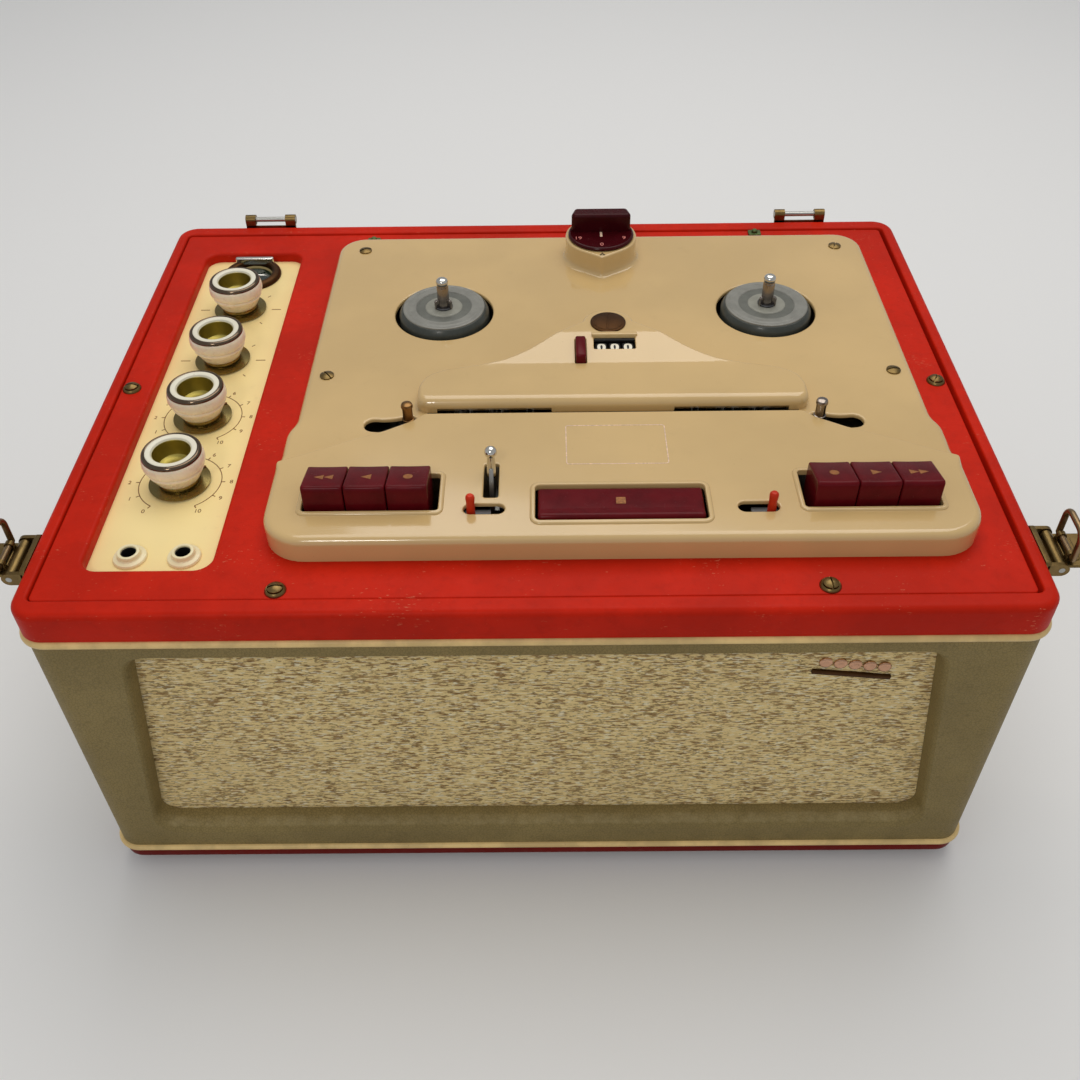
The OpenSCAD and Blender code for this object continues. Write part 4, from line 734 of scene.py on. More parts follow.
def grey_enamel(k, c):
    """Grey lacquer with a fine texture and a brownish bloom."""
    base = k.mix(k.noise(7, 4, 0.6).between(0.3, 0.7), shade(c, 0.88), shade(c, 1.08))
    base = k.mix(k.noise(2.2, 5, 0.7).between(0.55, 0.75) * 0.25, base, tone(112, 100, 82))
    k.set(color=base, rough=k.noise(5, 4) * 0.15 + 0.26, specular=0.3, coat=0.1, coat_rough=0.1,
          normal=k.bump(k.noise(0.6, 3), 0.1, 0.0002))


def ink(k, c):
    """Printed ink, a little uneven."""
    base = k.mix(k.noise(0.8, 3).between(0.4, 0.7), shade(c, 0.8), shade(c, 1.3))
    k.set(color=base, rough=0.5, specular=0.3)


def dark(k, c=(0.006, 0.006, 0.006), rough=0.5):
    """Black lacquer or moulding with dust."""
    base = k.mix(k.noise(3, 4, 0.7).between(0.5, 0.8) * 0.5, c, shade(tone(70, 62, 52), 0.6))
    k.set(color=base, rough=k.noise(5, 3) * 0.15 + rough, specular=0.4,
          normal=k.bump(k.noise(0.8, 3), 0.1, 0.0002))


def rubber(k):
    """Matt black rubber with a chalky bloom."""
    base = k.mix(k.noise(4, 4, 0.7).between(0.45, 0.8) * 0.6, tone(26, 25, 24), tone(84, 80, 74))
    k.set(color=base, rough=0.75, specular=0.3, normal=k.bump(k.noise(0.5, 3), 0.2, 0.0003))


def eye_glass(k):
    """Dark glass with a slow green-black mottle under a clear polish."""
    base = k.mix(k.noise(4, 2).between(0.3, 0.7), tone(18, 30, 22), tone(30, 46, 30))
    k.set(color=base, rough=0.05, specular=0.5, coat=0.8, coat_rough=0.03)


def valve_glass(k):
    """Grey glass, clouded in broad patches."""
    base = k.mix(k.noise(9, 2).between(0.4, 0.6), tone(150, 160, 158), tone(90, 96, 96))
    k.set(color=base, rough=0.08, specular=0.5, coat=0.6, coat_rough=0.05)


def paper(k, c):
    """Pressed paper or card: fibres and a soft mottle."""
    base = k.mix(k.noise(1.2, 5, 0.7, (1, 1, 4)).between(0.3, 0.7), shade(c, 0.8), shade(c, 1.2))
    k.set(color=base, rough=0.85, specular=0.2, normal=k.bump(k.noise(0.8, 4), 0.3, 0.0003))


def wood(k):
    """Plain board: long pale grain lines."""
    grain = k.noise(2.2, 5, 0.65, (0.06, 1, 1), 0.6)
    base = k.mix(grain.between(0.3, 0.7), tone(150, 112, 70), tone(196, 158, 108))
    k.set(color=base, rough=0.7, specular=0.3, normal=k.bump(grain, 0.2, 0.0003))


FINISHES = {
    "red_rexine": red_rexine,
    "leathercloth": leathercloth,
    "piping": piping_look,
    "grille_cloth": grille_weave,
    "cream_deck": lambda k: enamel(k, tuple(conf().cream), 0.16, 0.22, 0.03, 0.9),
    "cream_panel": lambda k: enamel(k, tone(252, 226, 160), 0.36, 0.35, 0.05, 0.15),
    "ivory": ivory,
    "gilt": lambda k: metal(k, tone(136, 120, 74), 0.2, tone(74, 60, 30), 0.5, (1, 1, 1), 0.6),
    "cup_gold": lambda k: metal(k, tone(176, 160, 84), 0.36, tone(110, 92, 40), 0.35, (1, 1, 0.2), 0.7),
    "bevel": lambda k: metal(k, tone(112, 96, 80), 0.1, tone(40, 30, 20), 0.3),
    "burgundy": lambda k: plastic(k, tuple(conf().burgundy)),
    "orange": lambda k: plastic(k, tone(206, 52, 24), 0.28, 0.4, 0.1),
    "disc_grey": lambda k: grey_enamel(k, tone(134, 133, 126)),
    "disc_inner": lambda k: grey_enamel(k, tone(146, 145, 134)),
    "disc_groove": lambda k: grey_enamel(k, tone(104, 105, 98)),
    # Painted shade: the spool discs' outer wall, a darker copy of their grey
    "disc_rim_painted_shade": lambda k: grey_enamel(k, tone(62, 66, 62)),
    # The base board's red cloth at three tenths of its colour, as painted shade
    "base_red_painted_shade": lambda k: red_rexine(k, 0.3),
    "wine": lambda k: plastic(k, tone(58, 6, 12)),
    "nickel": lambda k: metal(k, tone(150, 140, 132), 0.16, tone(70, 56, 44), 0.5),
    "eye_fan": lambda k: dark(k, tone(26, 40, 26), 0.3),
    "gold_ink": lambda k: ink(k, tone(156, 100, 52)),
    "nut_cream": lambda k: enamel(k, tone(244, 230, 186), 0.3, 0.4, 0.04, 0.3),
    "chrome": lambda k: metal(k, tone(214, 212, 206), 0.1, tone(110, 92, 66), 0.3),
    "aged_brass": lambda k: metal(k, tone(128, 106, 66), 0.32, tone(60, 46, 26), 0.75, tarnish=0.9),
    "loop_metal": lambda k: metal(k, tone(146, 122, 92), 0.3, tone(84, 60, 38), 0.7, tarnish=0.9),
    "bronze": lambda k: metal(k, tone(134, 100, 62), 0.28, tone(66, 44, 24), 0.6, tarnish=0.8),
    "dark_bronze": lambda k: metal(k, tone(78, 52, 30), 0.4, tone(40, 25, 13), 0.6, tarnish=0.8),
    "copper": lambda k: metal(k, tone(206, 160, 130), 0.2, tone(110, 62, 40), 0.45),
    "green_brass": lambda k: metal(k, tone(104, 122, 76), 0.4, tone(60, 74, 46), 0.7, tarnish=0.9),
    "counter_white": lambda k: enamel(k, tone(236, 230, 210), 0.4, 0.3, 0.03, 0.1),
    "brown_ink": lambda k: ink(k, tone(122, 76, 38)),
    "black_ink": lambda k: ink(k, tone(26, 24, 22)),
    "pale_ink": lambda k: ink(k, tone(226, 196, 170)),
    "pink_ink": lambda k: ink(k, tone(214, 130, 120)),
    "black": dark,
    "rubber": rubber,
    "eye_glass": eye_glass,
    "valve_glass": valve_glass,
    "cone_paper": lambda k: paper(k, tone(56, 52, 46)),
    "winding": lambda k: paper(k, tone(74, 66, 58)),
    "wood": wood,
    "steel": lambda k: metal(k, tone(176, 176, 172), 0.32, tone(90, 76, 56), 0.35),
    "dark_steel": lambda k: metal(k, tone(92, 92, 94), 0.4, tone(50, 44, 36), 0.4),
}
_made = {}


def finish(name):
    """The material of that name, made once."""
    if name not in _made:
        k = Look(name)
        FINISHES[name](k)
        _made[name] = k.mat
    return _made[name]


# Settings

def colour_setting(name, description, default):
    """A colour that the user can set."""
    return bpy.props.FloatVectorProperty(name=name, description=description, subtype="COLOR", size=3,
                                         min=0, max=1, default=default)


def radius_setting(name, description, default):
    """A radius that the user can set, in metres."""
    return bpy.props.FloatProperty(name=name, description=description, default=default,
                                   min=0.001, max=0.006, unit="LENGTH")


class RecorderSettings(bpy.types.PropertyGroup):
    """Colours, edge radii and light that the user can change before building."""
    red: colour_setting("Red cloth", "Colour of the red top, rim and foot", tone(198, 34, 12))
    grey: colour_setting("Leathercloth", "Colour of the cabinet's sides", tone(146, 127, 80))
    cream: colour_setting("Deck enamel", "Colour of the deck's covers", tone(212, 179, 122))
    burgundy: colour_setting("Keys", "Colour of the keys, stop bar and reset button", tone(92, 10, 18))
    rim_round: radius_setting("Rim rounding", "Radius of the red rim's upper edge", 0.0035)
    cover_round: radius_setting("Cover rounding", "Radius of the deck covers' edges", 0.0038)
    lamp: bpy.props.FloatProperty(name="Lamp power", description="Power of the overhead lamp in watts",
                                  default=16.0, min=1, max=100)
    fill: bpy.props.FloatProperty(name="Room light", description="Strength of the even room light",
                                  default=0.42, min=0, max=2)


# Pieces

def grille_loop(grow, ledge):
    """The grille opening: the hull of four circles, grown at the sides and top, and further below."""
    corner = 9.0
    r = corner + grow
    top, low = 184.5 - corner, 199.5 - corner
    z_top, z_low = 170.6 - corner, 170.6 + corner - 132 + grow - ledge
    tilt = np.degrees(np.arctan2(low - top, z_top - z_low))
    right = np.concatenate([arc(low, z_low, r, -90, tilt, 10), arc(top, z_top, r, tilt, 90, 10)])
    return both_sides(right)


def grille_bullnose(back):
    """Rows of the opening's wall: the outline grows by a share while its place comes forward."""
    share = (0, 0, 0.02, 0.06, 0.12, 0.2, 0.3, 0.42, 0.55, 0.68, 0.8, 0.9, 0.97, 1.0, 1.0)
    forward = (0, 0.2, 1.6, 3.2, 4.6, 5.8, 6.8, 7.5, 8.0, 8.35, 8.6, 8.8, 8.93, 9.0, 9.0)
    inner, outer = grille_loop(0, 0), grille_loop(3, 8)
    return [(inner + (outer - inner) * a, back + 1.1 * b) for a, b in zip(share, forward)]


def lip_wear(v):
    """Worn where the opening's bullnose turns, most along the lower lip."""
    low = np.clip((60 - v[:, 2]) / 40, 0, 1)
    nose = np.clip((v[:, 1] + 172.8) / 1.2, 0, 1) * np.clip((-165.0 - v[:, 1]) / 2, 0, 1)
    return nose * (0.25 + 0.6 * low)


def build_cabinet():
    """Leathercloth walls: each side is a plan carried straight up, and the front plate's opening
    widens through a bullnose. Under the rim runs a wooden bearer."""
    p = Piece("Cabinet_walls", "cabinet", "leathercloth", "case_shell")
    x, front, back = BODY_X - BODY_R, BODY_FRONT + BODY_R, BODY_BACK - BODY_R
    side = np.concatenate([arc(x, front, BODY_R, -90, 0, 10), arc(x, back, BODY_R, 0, 90, 10),
                           arc(x, back, BODY_R - WALL, 90, 0, 4), arc(x, front, BODY_R - WALL, 0, -90, 4)])
    wall = slab(side, [(0, WALL_LOW), (0, WALL_TOP)])
    for s in (wall, mirror(wall)):
        p.add(s, "leathercloth")
    plate = np.array([[-x, WALL_LOW], [x, WALL_LOW], [x, WALL_TOP], [-x, WALL_TOP]])
    baffle = 163
    front_plate = loft([(plate, baffle), (plate, -BODY_FRONT)], [grille_bullnose(baffle)], plane="front")
    p.add(front_plate, "leathercloth", lip_wear)
    gland = ring(GLAND_X, GLAND_Z, 8.1, 32)
    back_rows = (-BODY_BACK, WALL - BODY_BACK)
    rear = loft([(plate, y) for y in back_rows], [[(gland, y) for y in back_rows]], plane="front")
    p.add(rear, "leathercloth")
    bearer, hollow = box_plan(-218.5, 218.5, -163, 157, 1.5, 3), box_plan(-210.5, 210.5, -155, 149, 2, 3)
    p.add(slab(bearer, [(0, 177.2), (0, 195.1)], [hollow]), "wood")
    return p.make(40)


def rim_wear(v):
    """Worn along the upper outer arris, most at the four corners and along the front."""
    x, y = np.abs(v[:, 0]), np.abs(v[:, 1] - MID_Y)
    top = np.clip(1 - np.abs(v[:, 2] - 201.3) / 1.6, 0, 1)
    out = np.clip((np.maximum(x / 230, y / 171.5) - 0.985) / 0.012, 0, 1)
    corner = np.clip((x - 200) / 20, 0, 1) * np.clip((y - 145) / 15, 0, 1)
    return np.clip(top * out * (0.62 + 0.5 * corner) + 0.35 * corner * out, 0, 1)


def board_wear(v):
    """A little worn along the panel's opening."""
    near = np.abs(np.abs(v[:, 0] - PANEL_X) - PANEL_HALF) < 1.6
    return np.where(near & (v[:, 2] > 199.5), 0.35, 0.0)


def build_rim():
    """The red rim: an outline with a rounded upper edge round a stepped opening."""
    r = conf().rim_round / MM
    outer = box_plan(-RIM_X, RIM_X, RIM_FRONT, RIM_BACK, BODY_R, 12)
    inner = box_plan(-222, 222, -164, 158, 3, 6)
    soft = [(0, RIM_LOW), (0, RIM_TOP - 1.2), (0.16, RIM_TOP - 0.6), (0.6, RIM_TOP - 0.16), (1.2, RIM_TOP),
            (1.4, RIM_TOP)]
    p = Piece("Red_rim", "cabinet", "red_rexine", "rim_frame")
    # Long sides get points in between, so that the wear can vary along them
    rim = slab(denser(outer), rows(RIM_LOW, RIM_TOP, r, 0.8, 6), [denser(inner)], soft)
    p.add(rim, "red_rexine", rim_wear)
    return p.make(40)


def build_base():
    """The red base board under the lower piping."""
    p = Piece("Red_base", "cabinet", "red_rexine", "base_board")
    plan = box_plan(-BODY_X, BODY_X, BODY_FRONT, BODY_BACK, BODY_R, 12)
    p.add(slab(plan, rows(BASE_LOW, BASE_TOP, 0.6, 1.5, 4)), "base_red_painted_shade")
    return p.make(40)


def build_board():
    """The red board round the deck, with soft edges down to the panel and to the deck's bay."""
    panel = box_plan(PANEL_X - PANEL_HALF, PANEL_X + PANEL_HALF, PANEL_Y0, PANEL_Y1, 8, 10)
    bay = box_plan(-114, 194, -134.5, 127.5, 8, 6)
    plate = box_plan(-221.4, 220, -163.4, 157.4, 2.5, 6)
    soft = [(0, BOARD_LOW), (0, BOARD_TOP - 2), (0.18, BOARD_TOP - 1.1), (0.7, BOARD_TOP - 0.35),
            (1.5, BOARD_TOP - 0.05), (1.9, BOARD_TOP), (2.2, BOARD_TOP)]
    p = Piece("Red_board", "cabinet", "red_rexine", "deck_board")
    board = slab(plate, rows(BOARD_LOW, BOARD_TOP, 0.8, 0, 4), [panel, bay], soft)
    p.add(board, "red_rexine", board_wear)
    return p.make(40)


def build_piping():
    """Two piping beads: half circles that stand out of the body's plan by 1.1 times their radius."""
    body = box_plan(-BODY_X, BODY_X, BODY_FRONT, BODY_BACK, BODY_R, 12)
    hollow = box_plan(-218.5, 218.5, MID_Y - 160, MID_Y + 160, 3, 12)
    a = np.radians(np.linspace(-90, 90, 11))
    p = Piece("Cream_piping", "cabinet", "piping", "piping")
    for z, r in ((BASE_TOP, 1.8), (WALL_TOP, 2.0)):
        bead = [(0.3, z)] + list(zip(-1.1 * r * np.cos(a), z + r + r * np.sin(a))) + [(0.3, z + 2 * r)]
        p.add(slab(body, bead, [hollow], [(0, z), (0, z + 2 * r)]), "piping")
    return p.make(50)


def build_cloth():
    """The grille cloth: a grid between the opening's outlines, with slow ripples in its depth:
    depth = 0.12 sin(x / 37 + z / 19) cos(z / 23), closed by a second grid 0.6 mm behind."""
    height, half_low, taper = 140.0, 204.8, 15.6
    across, up = np.meshgrid(np.linspace(-1, 1, 161), np.linspace(0, 1, 61), indexing="ij")
    z = 34.6 + up * height
    x = across * (half_low - up * taper)
    y = -162.75 + 0.12 * np.sin(x / 37 + z / 19) * np.cos(z / 23)
    front, back = np.stack([x, y, z], -1).reshape(-1, 3), np.stack([x, y + 0.6, z], -1).reshape(-1, 3)
    m, k = x.shape
    q = grid_faces(m, k)[:, [0, 3, 2, 1]]
    edge = np.concatenate([np.arange(m) * k, (m - 1) * k + np.arange(1, k),
                           np.arange(m - 1)[::-1] * k + k - 1, np.arange(k - 1)[::-1][:-1]])
    after = np.roll(edge, -1)
    side = np.stack([after, edge, edge + m * k, after + m * k], 1)
    quads = np.concatenate([q, q[:, ::-1] + m * k, side])
    s = outward((np.concatenate([front, back]), quads, NO_TRIANGLES))
    o = Piece("Grille_cloth", "cabinet", "grille_cloth", "grille_cloth").add(s, "grille_cloth").make()


def printed_on_panel(outline):
    """A thin print on the panel's face."""
    return slab(outline, [(0, PANEL_Z - 0.05), (0, PANEL_Z + 0.06)])


def scale_arc(y, r, a0, a1):
    """A printed arc round a knob, 0.44 mm wide."""
    outer, inner = arc(PANEL_X, y, r + 0.22, a0, a1, 48), arc(PANEL_X, y, r - 0.22, a1, a0, 48)
    return printed_on_panel(np.concatenate([outer, inner]))


def tick(y, r, angle, length, width=0.5):
    """A printed stroke that points away from a knob's centre."""
    stroke = printed_on_panel(box_plan(r, r + length, -width / 2, width / 2, 0.1, 1))
    return move(turn(stroke, "z", angle), PANEL_X, y)


def build_panel():
    """Cream control panel with its printed scales: two dials of 0 to 10, two switch marks."""
    p = Piece("Control_panel", "cabinet", "cream_panel", "control_panel")
    edge = PANEL_HALF + 4
    plate = box_plan(PANEL_X - edge, PANEL_X + edge, PANEL_Y0 - 4, PANEL_Y1 + 4, 3, 4)
    holes = [ring(PANEL_X, y, 5, 24) for y in KNOB_Y] + [ring(x, JACK_Y, 6.2, 24) for x in JACK_X]
    holes.append(ring(PANEL_X, EYE_Y, 12.4, 40))
    p.add(slab(plate, [(0, PANEL_Z - 2), (0, PANEL_Z)], holes), "cream_panel")
    scale_r, sweep, start = 20.2, 296, 238
    for y in KNOB_Y[:2]:
        p.add(scale_arc(y, scale_r, start - sweep, start), "brown_ink")
        for i in range(11):
            angle = start - sweep * i / 10
            p.add(tick(y, scale_r, angle, 1.9), "brown_ink")
            c, s = cos(radians(angle)), sin(radians(angle))
            figure = printed(str(i), 3.6)
            p.add(move(figure, PANEL_X + 25.2 * c, y + 24.6 * s, PANEL_Z + 0.02), "brown_ink")
    for y in KNOB_Y[2:]:
        p.add(tick(y, 18.4, 0, 5.4, 0.6), "brown_ink")
        for angle in (-45, 45, 135, 225):
            p.add(tick(y, 19.4, angle, 2.2), "brown_ink")
        p.add(tick(y, 18.4, 180, 5.4, 0.6), "brown_ink")
    return p.make()


# Knob profiles as (radius, height) over the panel
KNOB_SKIRT = [(3.05, 0.8), (14.5, 0.8), (15.1, 1.0), (15.1, 1.35), (14.4, 1.5), (12.0, 1.95), (11.2, 2.1),
              (3.05, 2.1)]
KNOB_FOOT = [(3.0, 2.0), (9.9, 2.0), (10.3, 2.4), (10.35, 3.2), (10.1, 3.9), (10.0, 4.6), (3.0, 4.6)]
KNOB_BODY = [(3.0, 4.5), (10.3, 4.5), (10.8, 4.9), (11.6, 6.4), (12.7, 8.4), (13.6, 10.0), (14.0, 10.8),
             (14.05, 11.3), (13.8, 11.7), (13.65, 12.1), (14.0, 12.5), (14.8, 13.2), (15.15, 14.2),
             (15.25, 15.2), (15.15, 16.6), (14.95, 17.7), (14.65, 18.6), (14.3, 19.0), (12.5, 19.2),
             (9.45, 19.2), (9.45, 7.1), (3.0, 7.1)]
KNOB_RING = [(12.3, 18.9), (14.25, 18.75), (14.5, 19.1), (14.5, 19.5), (14.3, 20.1), (13.9, 20.6),
             (13.4, 20.85), (12.9, 20.9), (12.5, 20.75), (12.3, 20.4)]
KNOB_LIP = [(9.2, 18.9), (12.45, 18.9), (12.45, 20.7), (12.1, 20.95), (11.5, 21.0), (10.6, 20.9),
            (9.9, 20.6), (9.6, 20.2), (9.45, 19.7), (9.2, 19.5)]
KNOB_CUP = [(0, 7.2), (9.4, 7.2), (9.4, 19.6), (9.2, 19.8), (9.05, 19.6), (8.9, 17), (8.6, 14),
            (7.9, 12.0), (6.6, 11.0), (4.6, 10.6), (2.2, 10.5), (1.9, 11.0), (1.2, 11.4), (0, 11.5)]
KNOB_SHAFT = [(0, -11), (3, -11), (3, 7.2), (0, 7.2)]
KNOB_PARTS = ((KNOB_SKIRT, "gilt"), (KNOB_FOOT, "gilt"), (KNOB_BODY, "ivory"), (KNOB_RING, "bevel"),
              (KNOB_LIP, "counter_white"), (KNOB_CUP, "cup_gold"), (KNOB_SHAFT, "steel"))


def build_knobs():
    """Four knobs, each a set of turned profiles: gilt skirt and foot, stepped ivory body, dark band,
    pale lip and a deep gilt cup, on a steel shaft, with a mark printed on the skirt."""
    for i, y in enumerate(KNOB_Y):
        name = "knob_%d" % (i + 1)
        p = Piece(name.capitalize(), name, "ivory_knob", name)
        for profile, look in KNOB_PARTS:
            p.add(move(turned(profile, 72), PANEL_X, y, PANEL_Z), look)
        mark = slab(box_plan(-0.45, 0.45, 13.2, 15.2, 0.2, 2), [(0, 1.6), (0, 1.95)])
        p.add(move(turn(mark, "z", -45 if i < 2 else 0), PANEL_X, y, PANEL_Z), "brown_ink")
        p.make(28)


JACK_NUT = [(3.6, -21), (8.5, -21), (8.5, -2), (6, -2), (6, 0), (7.75, 0), (7.75, 0.9), (7.4, 1.5),
            (6.5, 1.85), (5.8, 2.1), (5.4, 2.6), (5.25, 3.7), (5.0, 4.2), (4.5, 4.4), (3.9, 4.35),
            (3.6, 4.0)]
JACK_BORE = [(0, -20.8), (3.62, -20.8), (3.62, 3.3), (3.3, 3.3), (3.3, -18), (0, -18)]
EYE_BEZEL = [(12.2, 0), (17.4, 0), (17.7, 0.7), (17.4, 1.9), (16.5, 2.9), (15.2, 3.4), (13.8, 3.4),
             (12.8, 2.8), (12.3, 1.8)]
EYE_TUBE = [(0, -65), (12, -65), (12, -1.6), (11.2, -0.9), (8, -0.3), (4, 0), (0, 0.1)]


def build_jacks():
    """Two jack sockets: a cream nut turned from its profile, lined with a black bore."""
    p = Piece("Jack_sockets", "cabinet", "white_nut", "jack_sockets")
    for x in JACK_X:
        p.add(move(turned(JACK_NUT, 48), x, JACK_Y, PANEL_Z), "nut_cream")
        p.add(move(turned(JACK_BORE, 32), x, JACK_Y, PANEL_Z), "black")
    return p.make(30)


def build_tuning_eye():
    """The tuning eye: a turned bezel and glass, a fan of screen between two arcs, and a low
    straight visor along the back."""
    p = Piece("Tuning_eye", "cabinet", "eye_glass", "tuning_eye")
    visor = slab(box_plan(-11.9, 11.9, 10.4, 13.4, 1.4, 6), rows(2.2, 6.2, 0.9, 0, 4, 0.1))
    fan = np.concatenate([arc(0, 0, 8.6, 35, 145, 20), arc(0, 0, 2.4, 145, 35, 8)])
    for shape, look in ((turned(EYE_BEZEL, 72), "dark_bronze"), (visor, "chrome"),
                        (turned(EYE_TUBE, 64), "eye_glass"), (slab(fan, [(0, -0.6), (0, 0.16)]), "eye_fan")):
        p.add(move(shape, PANEL_X, EYE_Y, PANEL_Z), look)
    return p.make(30)


DECK_SIDE = [(DECK_X, 56.5), (DECK_X, 84), (160, 92)]
BAY_SIDE = [(93.5, 56.5), (94, 111), (91, 116.5), (84, 121.5), (68, 126), (51, 131.5), (43, 136),
            (37.5, 141), (28, 150.5), (27, 151.5)]


def guide_slot_loop(s):
    """The guide post's slot: two arcs about the arm's pivot, joined by half circles."""
    half = 5
    a0, a1 = GUIDE_REST, GUIDE_END
    ends = [(GUIDE_X + GUIDE_ARM * cos(radians(a)), GUIDE_Y + GUIDE_ARM * sin(radians(a)))
            for a in (a0, a1)]
    outer = arc(GUIDE_X, GUIDE_Y, GUIDE_ARM + half, a1, a0, 12)
    inner = arc(GUIDE_X, GUIDE_Y, GUIDE_ARM - half, a0, a1, 12)
    loop = np.concatenate([outer, arc(*ends[0], half, a0, a0 + 180, 8)[1:], inner[1:],
                           arc(*ends[1], half, a1 + 180, a1 + 360, 8)[1:-1]])
    return flip_x(loop) if s > 0 else loop


def skirt_lift(v, open_at, level):
    """Raises the skirt's foot where open_at is true, so that the hollow stays open there."""
    low = open_at & (v[:, 2] < level)
    v = v.copy()
    v[:, 2] = np.where(low, level - (level - v[:, 2]) * 0.004, v[:, 2])
    return v


def build_deck_plate():
    """The deck plate: a pressed cover with a skirt at its sides and back, open to the front."""
    r = conf().cover_round / MM
    corners = both_sides(BAY_SIDE[::-1] + DECK_SIDE + [(160, DECK_BACK)])
    y = corners[:, 1]
    radii = np.where(y > 200, 16.0, np.where((y > 83) & (y < 93), 18.0, 1.0))
    loop = denser(fillet(corners, radii, 10))
    bay = (np.abs(loop[:, 0]) < 96) & (loop[:, 1] < 153)
    ease = np.where(bay, 0.06, np.clip(0.12 + (loop[:, 1] - 56.5) / 9, 0.12, 1))
    holes = [ring(s * SPOOL_X, SPOOL_Y, 27.7, 72) for s in (-1, 1)]
    holes += [guide_slot_loop(s) for s in (-1, 1)]
    holes += [ring(0, POD_Y, SELECTOR_BORE, 20), ring(0, LOBE_Y, SCREW_BORE, 20)]

    def open_front(v):
        """Lifts the skirt along the front and round the head cover's bay."""
        bay_side = (np.abs(v[:, 0]) < 97) & (v[:, 1] < 155)
        return skirt_lift(v, (v[:, 1] < 57.4) | bay_side, PLATE_TOP - SKIN)

    edge = [(0, 7), (0, 8.1), (0.15, 8.55), (0.45, 8.85), (0.9, PLATE_TOP), (1.15, PLATE_TOP)]
    p = Piece("Deck_plate", "cabinet", "cream_deck", "deck_plate")
    shell = shell_rows(0, PLATE_TOP, SKIN, r)
    p.add(on_deck(slab(loop, shell, holes, edge, ease=ease, warp=open_front)), "cream_deck")
    return p.make(40)


COVER_BACK = [(DECK_X, 56), (150, 62), (134, 70), (114, 79), (100.5, 87), (95, 92.7)]
LIP_OUTSIDE = [(0, 12.2), (0, 13.1), (0.25, 13.6), (0.7, 13.9), (1.1, 14), (1.3, 14)]
LIP_INSIDE = [(0.02, 12.2), (0.02, 13.3), (0.14, 13.75), (0.44, 14), (0.62, 14)]


def build_front_cover():
    """The front cover: a pressed tray with raised lips round the key banks and the stop bar."""
    r = conf().cover_round / MM
    corners = both_sides([(DECK_X, 0)] + COVER_BACK)
    y = corners[:, 1]
    radii = np.where(y < 1, 20.0, np.where(y > 92, 4.0, 8.0)) * np.where(np.abs(y - 56) < 0.5, 0.3, 1)
    loop = denser(fillet(corners, radii, 10))
    ease = np.clip(1 - (loop[:, 1] - 48) / 9, 0.34, 1)
    left, right = box_plan(-145.9, -83.6, 18.7, 44.1, 1.5, 4), box_plan(83.6, 145.9, 18.7, 44.1, 1.5, 4)
    stop, pause = box_plan(-39.2, 39.2, 11.6, 35.4, 2.2, 5), box_plan(-63.3, -56.3, 28, 52, 1.2, 3)
    slots = [slot_plan(s * 62.6, TRICK_Y, 19, 7) for s in (-1, 1)]

    def open_back(v):
        """Lifts the skirt along the waved back."""
        return skirt_lift(v, v[:, 1] > 55, 9.3)

    edge = [(0, 11), (0, 12.4), (0.15, 12.8), (0.5, COVER_TOP), (0.8, COVER_TOP)]
    shell = shell_rows(0, COVER_TOP, SKIN, r)
    cover = slab(loop, shell, [left, right, stop, pause] + slots, edge, ease=ease, warp=open_back)
    p = Piece("Front_cover", "cabinet", "cream_deck", "front_cover")
    p.add(on_deck(cover), "cream_deck")
    for hole in (left, right, stop):
        p.add(on_deck(slab(inset(hole, -2.5), LIP_OUTSIDE, [hole], LIP_INSIDE)), "cream_deck")
    # The deeper wall in front of the tape, open where the rollers come through
    for x0, x1 in ((-93, -89), (-31, 31), (89, 93)):
        wall = np.array([[x0, 90.9], [x1, 90.9], [x1, 92.6], [x0, 92.6]])
        p.add(on_deck(slab(wall, [(0, SKIN), (0, COVER_TOP - SKIN)])), "cream_deck")
    # A bare plaque outline between the key banks
    plaque, thin = box_plan(-24.5, 24.5, 51, 81, 1.5, 4), [(0, 12.9), (0, 13.08)]
    p.add(on_deck(slab(plaque, thin, [inset(plaque, 0.5)], thin)), "pale_ink")
    return p.make(40)


HEAD_SIDE = [(99.5, 97.3), (99.5, 111.5), (97.5, 118), (94, 122), (87, 126), (70, 130), (56, 134),
             (49, 137.5), (42.5, 141.5), (35.5, 147), (29, 152.5)]
HEAD_LOBE = 14.8
HEAD_CREASE = 129.5


def with_points(loop, xs, y):
    """Adds a point at each x to the edge that runs along y, so that a step there stays sharp."""
    out = []
    for a, b in zip(loop, np.roll(loop, -1, 0)):
        out.append(a)
        if abs(a[1] - y) < 0.01 and abs(b[1] - y) < 0.01:
            between = [x for x in xs if min(a[0], b[0]) + 0.01 < x < max(a[0], b[0]) - 0.01]
            out += [np.array([x, y]) for x in sorted(between, reverse=bool(a[0] > b[0]))]
    return np.array(out)


def head_warp(v):
    """Behind the crease the top rises evenly, by 4.5 mm over 22 mm; the front's skirt is lifted
    where the rollers come through."""
    rise = np.clip((v[:, 1] - HEAD_CREASE) / 22, 0, 1)
    lift = 4.5 * rise * np.clip((v[:, 2] - 9.4) / 5, 0, 1)
    v = v.copy()
    v[:, 2] += lift
    x = np.abs(v[:, 0])
    return skirt_lift(v, (v[:, 1] < 98.5) & (x > 31) & (x < 89), 11.6)


